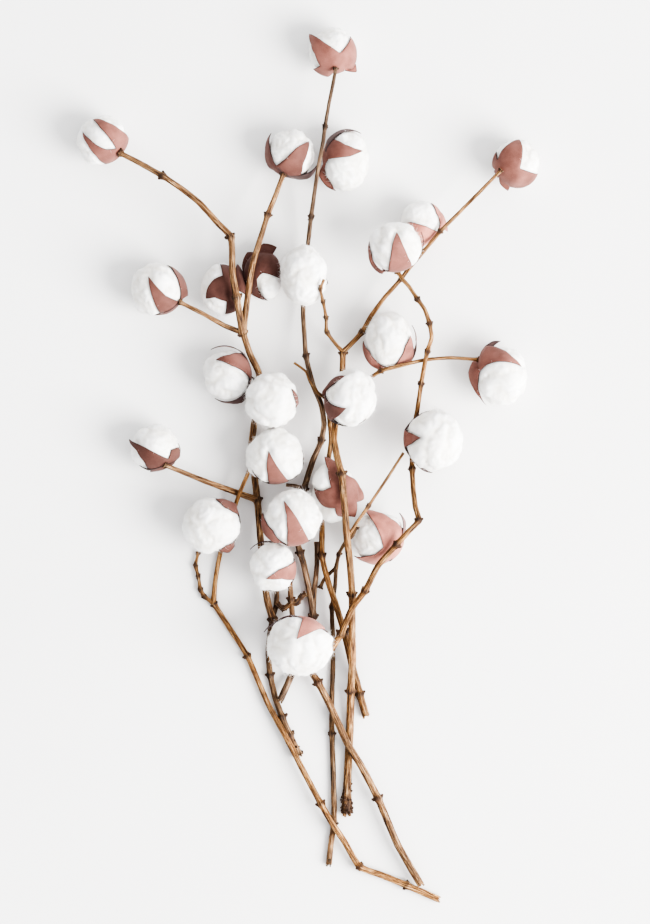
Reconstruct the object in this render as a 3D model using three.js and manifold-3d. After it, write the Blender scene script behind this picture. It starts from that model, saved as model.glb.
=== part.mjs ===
// Cotton stem bunch: nine cut twigs lying together in a loose fan, with 25 cotton
// bolls glued to their tips and sides. Each boll is a tuft of cotton wool sitting
// in a husk cut from thin card, with five pointed petals.
// Millimetres, +Z up. The bunch rests on z = 0, and its stems run along Y.

import * as THREE from "three";
import { mergeVertices } from "three/addons/utils/BufferGeometryUtils.js";
import Module from "manifold-3d";

const wasm = await Module();
wasm.setup();

// ---- Driving dimensions -------------------------------------------------------

const GRID = 0.8; // side of one square of the plan grid that places are given on
const MIDDLE_COLUMN = 310; // grid column at x = 0; columns count to the right
const MIDDLE_ROW = 468; // grid row at y = 0; rows count towards the cut ends

const BARK_SIDES = 6; // facets round a twig
const RING_STEP = 16; // distance between two rings of a twig
const KNOB_HALF = 3; // half the length of the swelling at a leaf node
const KNOB_SWELL = 1.3; // how much thicker a twig is at a leaf node

const HUSK_WALL = 0.8; // thickness of the card
const TUFT_SHARE = 0.87; // width of the tuft over the width of its husk
const PETALS = 5;
const PETAL_FACETS = 4; // facets across one petal
const HUSK_RINGS = 4; // facets from the middle of the husk to a petal's tip
const NOTCH = 32; // degrees from the husk's middle to the cut between two petals
const REACH = 112; // degrees from the husk's middle to a petal's tip
const SQUASH = 0.92; // length of a boll along its own axis, over its width
const SEAT_GAP = 1.7; // from the husk to the end of the twig that carries it

const place = (column, row, height) =>
  new THREE.Vector3((column - MIDDLE_COLUMN) * GRID, (MIDDLE_ROW - row) * GRID, height);

// ---- Bolls --------------------------------------------------------------------
// at: [column, row, height of the centre]; width: across the husk;
// heading: plan direction that the boll opens to, in degrees from +X;
// rise: how far it opens upwards; roll: turn of the petals about its own axis.

const BOLLS = {
  "01": { at: [332, 52, 19.2], width: 37, heading: 103, rise: -40, roll: 36 },
  "02": { at: [104, 140, 19.8], width: 38.5, heading: 140, rise: -27, roll: 0 },
  "03": { at: [291, 155, 19.8], width: 38.5, heading: 69, rise: -25, roll: 36 },
  "04": { at: [345, 158, 19.6], width: 38, heading: -8, rise: -30, roll: 36 },
  "05": { at: [516, 163, 19.8], width: 38.5, heading: 27, rise: -43, roll: 36 },
  "06": { at: [422, 222, 17.6], width: 34, heading: 142, rise: -10, roll: 0 },
  "07": { at: [394, 249, 38.5], width: 38.5, heading: 97, rise: 5, roll: 0 },
  "08": { at: [160, 290, 21.1], width: 41, heading: 148, rise: -20, roll: 36 },
  "09": { at: [222, 289, 17.8], width: 34.5, heading: 202, rise: -61, roll: 0 },
  "10": { at: [263, 272, 16.6], width: 32, heading: -11, rise: -61, roll: 36 },
  "11": { at: [305, 277, 32.5], width: 39, heading: 0, rise: 80, roll: 0 },
  "12": { at: [229, 375, 20.1], width: 39, heading: 180, rise: -15, roll: 0 },
  "13": { at: [271, 401, 33.5], width: 41, heading: 135, rise: 75, roll: 0 },
  "14": { at: [275, 458, 24.5], width: 43, heading: 97, rise: 20, roll: 0 },
  "15": { at: [435, 441, 34], width: 43, heading: 0, rise: 15, roll: 0 },
  "16": { at: [351, 400, 43], width: 40, heading: 31, rise: 30, roll: 36 },
  "17": { at: [389, 341, 21.1], width: 41, heading: 92, rise: 0, roll: 36 },
  "18": { at: [500, 373, 21.1], width: 41, heading: -33, rise: -5, roll: 0 },
  "19": { at: [156, 449, 19.8], width: 38.5, heading: 120, rise: -38, roll: 0 },
  "20": { at: [212, 524, 26], width: 43, heading: 180, rise: 60, roll: 36 },
  "21": { at: [293, 517, 34], width: 44, heading: 104, rise: 25, roll: 0 },
  "22": { at: [273, 567, 29.5], width: 38.5, heading: 173, rise: 15, roll: 0 },
  "23": { at: [339, 488, 22.5], width: 38.5, heading: 225, rise: -75, roll: 0 },
  "24": { at: [379, 538, 21.6], width: 42, heading: 156, rise: -40, roll: 36 },
  "25": { at: [300, 645, 39], width: 50, heading: -106, rise: 35, roll: 0 },
};

// The end of a twig that carries a boll: a point just outside the husk's middle.
function seat(name) {
  const { at, width, heading, rise } = BOLLS[name];
  const plan = THREE.MathUtils.degToRad(heading);
  const up = THREE.MathUtils.degToRad(rise);
  const opens = new THREE.Vector3(
    Math.cos(plan) * Math.cos(up),
    Math.sin(plan) * Math.cos(up),
    Math.sin(up),
  );
  const distance = (width / 2) * SQUASH + HUSK_WALL / 2 + SEAT_GAP;
  return place(...at).addScaledVector(opens, -distance);
}

// ---- Twigs --------------------------------------------------------------------
// Each stem is a list of limbs that grow into each other. A limb follows its
// route from start to end radius, and a place marked KNOB is a leaf node.

const KNOB = true;

const STEMS = {
  // The longest twig: bolls 02, 03, 08, 12, 13 and 19, and 09 and 10 from below.
  stem_main: [
    {
      radii: [3.2, 2.8],
      route: [
        [421, 886, 8], [398, 846, 8.5], [378, 799, 9.5, KNOB], [362, 768, 10.2],
        [348, 745, 10.4], [331, 708, 10.4], [318, 683, 10.6, KNOB], [298, 652, 10.8],
        [273, 620, 10.2, KNOB], [267, 600, 9.5], [262, 560, 7.5], [258, 510, 6],
        [257, 500, 6.5, KNOB], [254, 473, 6.5], [251, 450, 6.5], [253, 430, 7],
        [258, 400, 8.5], [259, 374, 12], [250, 354, 17.5], [243, 333, 24, KNOB],
      ],
    },
    { radii: [2.1, 1.6], route: [[243, 333, 24], [225, 326, 25], [205, 315, 26.5], "08"] },
    {
      radii: [2.7, 1.8],
      route: [
        [243, 333, 24], [240, 316, 32], [237, 298, 38.4, KNOB], [233, 275, 39.2],
        [231, 238, 38.5, KNOB], [219, 225, 38], [200, 204, 36.5], [181, 189, 34.5],
        [163, 177, 33, KNOB], [142, 165, 31], "02",
      ],
    },
    {
      radii: [2.5, 1.7],
      route: [
        [243, 333, 24], [246, 312, 31], [249, 290, 36], [253, 265, 37.2],
        [262, 235, 36], [268, 216, 34, KNOB], [275, 198, 31], "03",
      ],
    },
    { radii: [2.6, 1.8], route: [[257, 500, 6.5], [240, 494, 11], [205, 481, 22], "19"] },
  ],

  // The twig at the lower left, which ends under bolls 14 and 20.
  stem_lower_left: [
    {
      radii: [3, 2.2],
      route: [
        [439, 901, 3.2], [407, 887, 4.1, KNOB], [384, 876, 4.5], [360, 868, 6, KNOB],
        [344, 842, 8], [332, 824, 9.6], [321, 805, 9.2, KNOB], [304, 773, 8.6],
        [288, 742, 7.5], [268, 705, 5], [247, 657, 3.5, KNOB], [230, 630, 3],
        [213, 604, 3, KNOB],
      ],
    },
    {
      radii: [1.3, 1],
      route: [[213, 604, 3], [204, 596, 3], [198, 575, 3.2], [195, 566, 3, KNOB], [198, 552, 3.2]],
    },
    {
      radii: [2, 1.5],
      route: [
        [213, 604, 3], [215, 580, 3.2], [220, 553, 3.5], [228, 528, 5.5], [234, 509, 11],
        [240, 492, 17.6], [246, 478, 18.8], [249.5, 469, 18.8],
      ],
    },
  ],

  // The tall twig: bolls 01, 04, 14, 21 and 25, and 11 from below.
  stem_tall: [
    {
      radii: [2.8, 1.4],
      route: [
        [280, 703, 8.6], [294, 672, 4.4], [304, 643, 3.4], [313, 617, 4.5, KNOB],
        [309, 590, 6], [303, 562, 7], [300, 553, 7.5, KNOB], [297, 540, 8],
        [299, 515, 8.5], [304, 489, 11.5, KNOB], [313, 460, 17], [321.5, 440, 21, KNOB],
        [321, 425, 23], [317, 403, 23.6], [311, 385, 23], [306, 356, 20, KNOB],
        [304, 330, 15], [303, 312, 10.5], [304, 290, 8.8], [306, 262, 9], [308, 243, 12.5],
        [311, 217, 19, KNOB], [315, 190, 25.5], [319, 165, 30.8], [323, 143, 32.2],
        [325, 128, 32.4, KNOB], [329, 105, 33.2], [333, 85, 33], "01",
      ],
    },
    {
      radii: [2.1, 1.9],
      route: [[313, 617, 4.5], [314.5, 590, 5], [317, 565, 5.2], [316.5, 542, 5.2]],
    },
    { radii: [1.6, 1.3], route: [[304, 489, 11.5], [295, 486, 12.6], [286, 485, 13]] },
  ],

  // The centre twig with the torn root end: bolls 05, 06, 15, 17 and 18.
  stem_centre: [
    {
      radii: [3.1, 2.2],
      route: [
        [347, 815, 3.9], [347, 795, 3.5], [350, 730, 3.6], [351, 692, 8.5, KNOB],
        [352.5, 660, 14], [352, 625, 18.5], [352, 594, 24.5, KNOB], [350, 565, 31.5],
        [347, 538, 38.5], [344, 500, 43.4], [341.5, 474, 43.6, KNOB], [337, 457, 40.5],
        [334, 440, 35.5], [335, 427, 29], [338, 405, 18.5], [342, 380, 13.8],
        [343, 352, 13, KNOB],
      ],
    },
    {
      radii: [2, 1.3],
      route: [
        [343, 352, 13], [362, 332, 14, KNOB], [371, 316, 15.5], [385, 297, 17.5],
        [401, 279, 20, KNOB], [410, 267, 23], [424, 251, 27], [440, 232, 29, KNOB],
        [460, 212, 30.5], [482, 190, 32.8], "05",
      ],
    },
    {
      radii: [1.4, 1],
      route: [
        [343, 352, 13], [335, 343, 16], [327, 332, 20, KNOB], [326, 318, 26],
        [323, 302, 33], [320.5, 290, 41], [324, 281, 45],
      ],
    },
    {
      radii: [1.6, 1.4],
      route: [
        [338, 405, 18.5], [352, 391, 18.2], [367, 380, 21.5], [381, 371, 26.5, KNOB],
        [390, 368.5, 29.4], [400, 366, 29.4], [425, 360, 26.5], [450, 358, 25], "18",
      ],
    },
    {
      radii: [1.3, 1.1],
      route: [[347, 538, 38.5], [356, 523, 40], [368, 506, 40.5, KNOB], [387, 478, 37.5], [403, 453, 31]],
    },
  ],

  // The twig on the right: boll 07 at its tip, and 24 and 15 beside it.
  stem_right: [
    {
      radii: [2.6, 1.3],
      route: [
        [321, 665, 9], [334, 645, 14], [341, 634, 17.5, KNOB], [352, 608, 29],
        [365, 590, 33.5, KNOB], [378, 565, 39.5], [396, 544, 43.6, KNOB], [408, 531, 43.5],
        [418, 520, 41, KNOB], [415, 507, 37.5], [413, 490, 32], [412, 469, 25, KNOB],
        [412, 450, 19], [413, 433, 16.3], [417, 412, 18], [421, 384, 25, KNOB],
        [425, 361, 31.5], [427, 352, 32.5, KNOB], [431, 338, 34.5], [429, 324, 36, KNOB],
        [424, 310, 37.5], [417, 300, 38.2, KNOB], [409, 288, 38.6], [402, 280, 38.2], "07",
      ],
    },
  ],

  // The inner twig: boll 16, then a thin curling tip.
  stem_inner: [
    {
      radii: [3, 1.8],
      route: [
        [366, 717, 3.2], [360, 695, 4, KNOB], [352, 665, 6.2], [344, 632, 9.6, KNOB],
        [336, 605, 12.6], [327, 578, 13], [322, 556, 11.5, KNOB], [322, 530, 8.5],
        [322, 512, 6], [325, 485, 4.4], [329, 457, 8], [331, 440, 12.5], [330, 425, 18.5],
      ],
    },
    {
      radii: [1.7, 0.9],
      route: [
        [330, 425, 18.5], [328.5, 412, 24], [327, 400, 25.6, KNOB], [318, 393, 27.6],
        [310, 382, 28.5], [306, 372, 28.5], [300, 367, 28.8], [294, 363, 29.2],
      ],
    },
  ],

  // The thin twig with the knobby, forked tip.
  stem_knobby: [
    {
      radii: [2.4, 1.7],
      route: [
        [329, 866, 2.7], [331, 845, 2.7], [334, 825, 3.2, KNOB], [334, 800, 2.6],
        [333, 765, 2.6], [332, 735, 3, KNOB], [332, 700, 2.6], [333, 670, 2.8],
        [333, 640, 3.4], [332, 608, 6, KNOB], [335, 587, 9.5], [336, 568, 14],
      ],
    },
    {
      radii: [1.5, 1.3],
      route: [[336, 568, 14], [339, 554, 21, KNOB], [346, 541, 30.5], [352, 536, 32.8], [357, 526, 34.5, KNOB]],
    },
    { radii: [1.4, 1.3], route: [[336, 568, 14], [330.5, 573, 9], [324, 580, 7.4], [320, 589, 7, KNOB]] },
  ],

  // The short twig at the back, whose top is hidden under boll 22.
  stem_back: [
    {
      radii: [2.7, 1.9],
      route: [
        [300, 757, 2.8], [291, 735, 2.8], [283, 718, 3.6, KNOB], [276, 700, 2.8],
        [270, 676, 3.1, KNOB], [268, 650, 2.5], [271, 625, 2.3], [276, 605, 2.2], [277, 585, 2.2],
      ],
    },
  ],

  // The stub that carries boll 22, with a knobby side twig on each side.
  stem_stub: [
    { radii: [2.4, 2], route: [[292, 613, 8.2], [291, 600, 8.4, KNOB], [290, 584, 11], [292, 573, 13.5]] },
    { radii: [1.6, 1.4], route: [[291, 604, 8.4], [283, 609, 7.8, KNOB], [275.5, 603, 7]] },
    { radii: [1.6, 1.4], route: [[291, 604, 8.4], [299, 601, 8.6], [304, 595, 8.8, KNOB]] },
  ],
};

// ---- Shape of a twig ----------------------------------------------------------

// Distances along a limb at which it has a ring, with three rings at each knob.
function ringStations(length, knobs) {
  const stations = knobs.map((knob) => ({ at: knob, swell: KNOB_SWELL }));
  const flanks = knobs.flatMap((knob) => [knob - KNOB_HALF, knob + KNOB_HALF]);
  const steps = Math.ceil(length / RING_STEP);
  const plain = Array.from({ length: steps + 1 }, (_, step) => (length * step) / steps);
  for (const at of [0, length, ...flanks, ...plain]) {
    const clear = stations.every((other) => Math.abs(other.at - at) > KNOB_HALF * 0.9);
    if (clear && at >= 0 && at <= length) stations.push({ at, swell: 1 });
  }
  return stations.sort((one, other) => one.at - other.at);
}

// A closed tapering tube: a capped cylinder bent along the limb's route.
function limbGeometry({ route, radii }) {
  const points = route.map((stop) => (typeof stop === "string" ? seat(stop) : place(...stop)));
  const curve = new THREE.CatmullRomCurve3(points, false, "centripetal");
  const divisions = 12;
  curve.arcLengthDivisions = divisions * (points.length - 1);
  const lengths = curve.getLengths();
  const length = curve.getLength();
  const knobs = route.flatMap((stop, index) => (stop[3] === KNOB ? [lengths[index * divisions]] : []));
  const stations = ringStations(length, knobs);

  const geometry = new THREE.CylinderGeometry(1, 1, 1, BARK_SIDES, stations.length - 1);
  const position = geometry.attributes.position;
  const up = new THREE.Vector3(0, 0, 1);
  for (let index = 0; index < position.count; index += 1) {
    const ring = Math.round((0.5 - position.getY(index)) * (stations.length - 1));
    const { at, swell } = stations[ring];
    const along = at / length;
    const radius = THREE.MathUtils.lerp(radii[0], radii[1], along) * swell;
    const tangent = curve.getTangentAt(along);
    const side = new THREE.Vector3().crossVectors(tangent, up).normalize();
    const over = new THREE.Vector3().crossVectors(tangent, side);
    const point = curve.getPointAt(along);
    point.addScaledVector(side, position.getX(index) * radius);
    point.addScaledVector(over, position.getZ(index) * radius);
    position.setXYZ(index, point.x, point.y, point.z);
  }
  return geometry;
}

// ---- Shape of a boll ----------------------------------------------------------

// The petals' outline: how far the husk reaches from its middle, in degrees,
// in a direction given in degrees round its axis.
function huskRim(around) {
  const petalWidth = 360 / PETALS;
  const fromTip = Math.abs(((around + petalWidth / 2) % petalWidth) - petalWidth / 2);
  return REACH - (REACH - NOTCH) * (fromTip / (petalWidth / 2));
}

// Rings of the husk, in degrees from its middle: the first is at the notches.
function ringAngle(ring) {
  if (ring === 0) return 0;
  return NOTCH + ((REACH - NOTCH) * (ring - 1)) / (HUSK_RINGS - 1);
}

// A cup of card with a star rim, closed all round: from the middle out along the
// outside, over the rim and back along the inside is one lathe profile, and each
// of its columns then stops where the petals' outline does.
function huskGeometry(width) {
  const profile = Array.from({ length: 2 * HUSK_RINGS + 2 }, (_, index) => new THREE.Vector2(1, index));
  const columns = PETALS * PETAL_FACETS;
  const geometry = new THREE.LatheGeometry(profile, columns);
  const position = geometry.attributes.position;
  const last = profile.length - 1;
  for (let index = 0; index < position.count; index += 1) {
    const step = Math.round(position.getY(index));
    const column = Math.floor(index / profile.length) % columns;
    const around = (column * 360) / columns;
    const inside = step > HUSK_RINGS;
    const ring = inside ? last - step : step;
    const reach = Math.min(ringAngle(ring), huskRim(around));
    const polar = THREE.MathUtils.degToRad(180 - reach);
    const azimuth = THREE.MathUtils.degToRad(around);
    const radius = width / 2 + (inside ? -HUSK_WALL / 2 : HUSK_WALL / 2);
    const out = ring === 0 ? 0 : radius * Math.sin(polar);
    position.setXYZ(
      index,
      out * Math.cos(azimuth),
      out * Math.sin(azimuth),
      radius * Math.cos(polar) * SQUASH,
    );
  }
  return geometry;
}

// The tuft of cotton wool: a plain squashed ball with the tuft's outer size.
function cottonGeometry(width) {
  return new THREE.IcosahedronGeometry((width / 2) * TUFT_SHARE, 2).scale(1, 1, SQUASH);
}

// ---- Joining and naming -------------------------------------------------------

// A geometry with only its positions, and with the vertices it shares merged.
function welded(geometry) {
  geometry.deleteAttribute("normal");
  geometry.deleteAttribute("uv");
  const merged = mergeVertices(geometry, 1e-4);
  const corners = merged.index.array;
  const kept = [];
  for (let first = 0; first < corners.length; first += 3) {
    const [a, b, c] = corners.slice(first, first + 3);
    if (a !== b && b !== c && c !== a) kept.push(a, b, c);
  }
  merged.setIndex(kept);
  return merged;
}

function solid(geometry) {
  const closed = welded(geometry);
  return new wasm.Manifold(
    new wasm.Mesh({
      numProp: 3,
      vertProperties: Float32Array.from(closed.attributes.position.array),
      triVerts: Uint32Array.from(closed.index.array),
    }),
  );
}

function geometryOf(joined) {
  const mesh = joined.getMesh();
  const geometry = new THREE.BufferGeometry();
  geometry.setAttribute("position", new THREE.BufferAttribute(mesh.vertProperties, 3));
  geometry.setIndex(new THREE.BufferAttribute(mesh.triVerts, 1));
  return geometry;
}

function named(name, geometry, material) {
  geometry.computeVertexNormals();
  const mesh = new THREE.Mesh(geometry, material);
  mesh.name = name;
  return mesh;
}

const bark = new THREE.MeshStandardMaterial({ color: 0x9a6b3f, roughness: 0.85, metalness: 0 });
const card = new THREE.MeshStandardMaterial({ color: 0x9c6a62, roughness: 0.8, metalness: 0 });
const wool = new THREE.MeshStandardMaterial({ color: 0xf5f3ee, roughness: 1, metalness: 0 });

function stem(name, limbs) {
  const [trunk, ...branches] = limbs.map((limb) => solid(limbGeometry(limb)));
  const joined = branches.reduce((whole, branch) => whole.add(branch), trunk);
  return named(name, geometryOf(joined), bark);
}

// A boll's own +Z is the way it opens, so its husk sits at -Z.
function boll(name, { at, width, heading, rise, roll }) {
  const group = new THREE.Group();
  const husk = named(`husk_${name}`, welded(huskGeometry(width)), card);
  const cotton = named(`cotton_${name}`, welded(cottonGeometry(width)), wool);
  husk.rotation.z = THREE.MathUtils.degToRad(roll);
  group.add(husk, cotton);
  group.position.copy(place(...at));
  group.rotation.set(
    0,
    THREE.MathUtils.degToRad(90 - rise),
    THREE.MathUtils.degToRad(heading),
    "ZYX",
  );
  return group;
}

const bunch = new THREE.Group();
for (const [name, limbs] of Object.entries(STEMS)) bunch.add(stem(name, limbs));
for (const [name, measures] of Object.entries(BOLLS)) bunch.add(boll(name, measures));

export default bunch;
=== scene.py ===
# %% [markdown]
# # A bunch of cotton stems
# Nine cut twigs lie together in a loose fan on a white table. Twenty-five bolls sit
# on them: each is a tuft of cotton wool in a husk cut from thin brown-pink card.
# This lesson builds the three kinds of piece one after the other, twigs, husks and
# tufts, and then their finishes, the light and the camera. The first cell loads the
# fixed frame, which is the solid model that every piece has to stay on.

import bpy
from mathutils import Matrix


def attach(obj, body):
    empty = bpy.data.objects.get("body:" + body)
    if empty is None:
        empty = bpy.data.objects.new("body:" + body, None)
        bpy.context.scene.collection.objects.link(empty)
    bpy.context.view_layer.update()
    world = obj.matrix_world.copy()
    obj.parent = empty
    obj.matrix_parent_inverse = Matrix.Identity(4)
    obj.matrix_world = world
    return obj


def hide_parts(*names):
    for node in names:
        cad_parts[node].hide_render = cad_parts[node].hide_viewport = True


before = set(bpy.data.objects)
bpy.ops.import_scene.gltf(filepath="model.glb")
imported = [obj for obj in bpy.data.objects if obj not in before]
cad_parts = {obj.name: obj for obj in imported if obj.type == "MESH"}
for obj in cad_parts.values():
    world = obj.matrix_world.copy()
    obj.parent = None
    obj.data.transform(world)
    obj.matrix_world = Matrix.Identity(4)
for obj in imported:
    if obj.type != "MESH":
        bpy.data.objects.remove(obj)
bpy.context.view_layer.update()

# %% Tools and units
import math

import bmesh
import bpy
import numpy as np
from mathutils import Vector, noise
from mathutils.bvhtree import BVHTree

MM = 0.001  # Blender measures in metres, and this bunch is described in millimetres
BODY = "root"  # nothing on the bunch moves, so every piece rides on one body


# %% [markdown]
# ## The plan grid
# Everything is placed on one plan grid, like the squared paper a florist might draw a
# bouquet on. A place is a column, a row and a height. Columns count to the right, rows
# count towards the cut ends, and heights are millimetres above the table. One small
# function turns a place into a Blender point, so that tables of places stay readable.

# %% The plan grid
GRID = 0.8  # millimetres along one square of the grid
MIDDLE_COLUMN = 310
MIDDLE_ROW = 468


def place(column, row, height=0.0):
    x = (column - MIDDLE_COLUMN) * GRID
    y = (MIDDLE_ROW - row) * GRID
    return np.array([x, y, height]) * MM


print("the grid's middle is at", place(MIDDLE_COLUMN, MIDDLE_ROW))

# %% [markdown]
# ## Where the bolls are
# Each boll opens along its own axis: heading is the direction in plan, in degrees from
# the right, and rise is how far it opens upwards. The solid model was made from the same
# numbers, so the husks made below lie just over its husks, and the tufts near its tufts.

# %% Table of bolls
BOLLS = {  # name: (column, row, height of the centre, width, heading, rise)
    "01": (332, 52, 19.2, 37, 103, -40), "02": (104, 140, 19.8, 38.5, 140, -27),
    "03": (291, 155, 19.8, 38.5, 69, -25), "04": (345, 158, 19.6, 38, -8, -30),
    "05": (516, 163, 19.8, 38.5, 27, -43), "06": (422, 222, 17.6, 34, 142, -10),
    "07": (394, 249, 38.5, 38.5, 97, 5), "08": (160, 290, 21.1, 41, 148, -20),
    "09": (222, 289, 17.8, 34.5, 202, -61), "10": (263, 272, 16.6, 32, -11, -61),
    "11": (305, 277, 32.5, 39, 0, 80), "12": (229, 375, 20.1, 39, 180, -15),
    "13": (271, 401, 33.5, 41, 135, 75), "14": (275, 458, 24.5, 43, 97, 20),
    "15": (435, 441, 34, 43, 0, 15), "16": (351, 400, 43, 40, 31, 30),
    "17": (389, 341, 21.1, 41, 92, 0), "18": (500, 373, 21.1, 41, -33, -5),
    "19": (156, 449, 19.8, 38.5, 120, -38), "20": (212, 524, 26, 43, 180, 60),
    "21": (293, 517, 34, 44, 104, 25), "22": (273, 567, 29.5, 38.5, 173, 15),
    "23": (339, 488, 22.5, 38.5, 225, -75), "24": (379, 538, 21.6, 42, 156, -40),
    "25": (300, 645, 39, 50, -106, 35),
}
SQUASH = 0.92  # a boll's length along its own axis, over its width


def axes_of(name):
    """A boll's centre and its own three directions; the third is the way it opens."""
    column, row, height, _, heading, rise = BOLLS[name]
    plan, up = math.radians(heading), math.radians(rise)
    opens = np.array([math.cos(plan) * math.cos(up), math.sin(plan) * math.cos(up), math.sin(up)])
    side = np.array([-math.sin(plan), math.cos(plan), 0.0])
    return place(column, row, height), np.array([np.cross(side, opens), side, opens])


print(len(BOLLS), "bolls, the widest", max(row[3] for row in BOLLS.values()), "mm")

# %% [markdown]
# ## Where the twigs run
# A stem is a list of limbs that grow out of each other. A limb has a start and an end
# radius and a route of places. A fourth number marks a leaf node, the small knob where
# a leaf once grew. A boll's name in place of a route's last stop means the end of the
# twig is glued to the back of that boll's husk.

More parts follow.
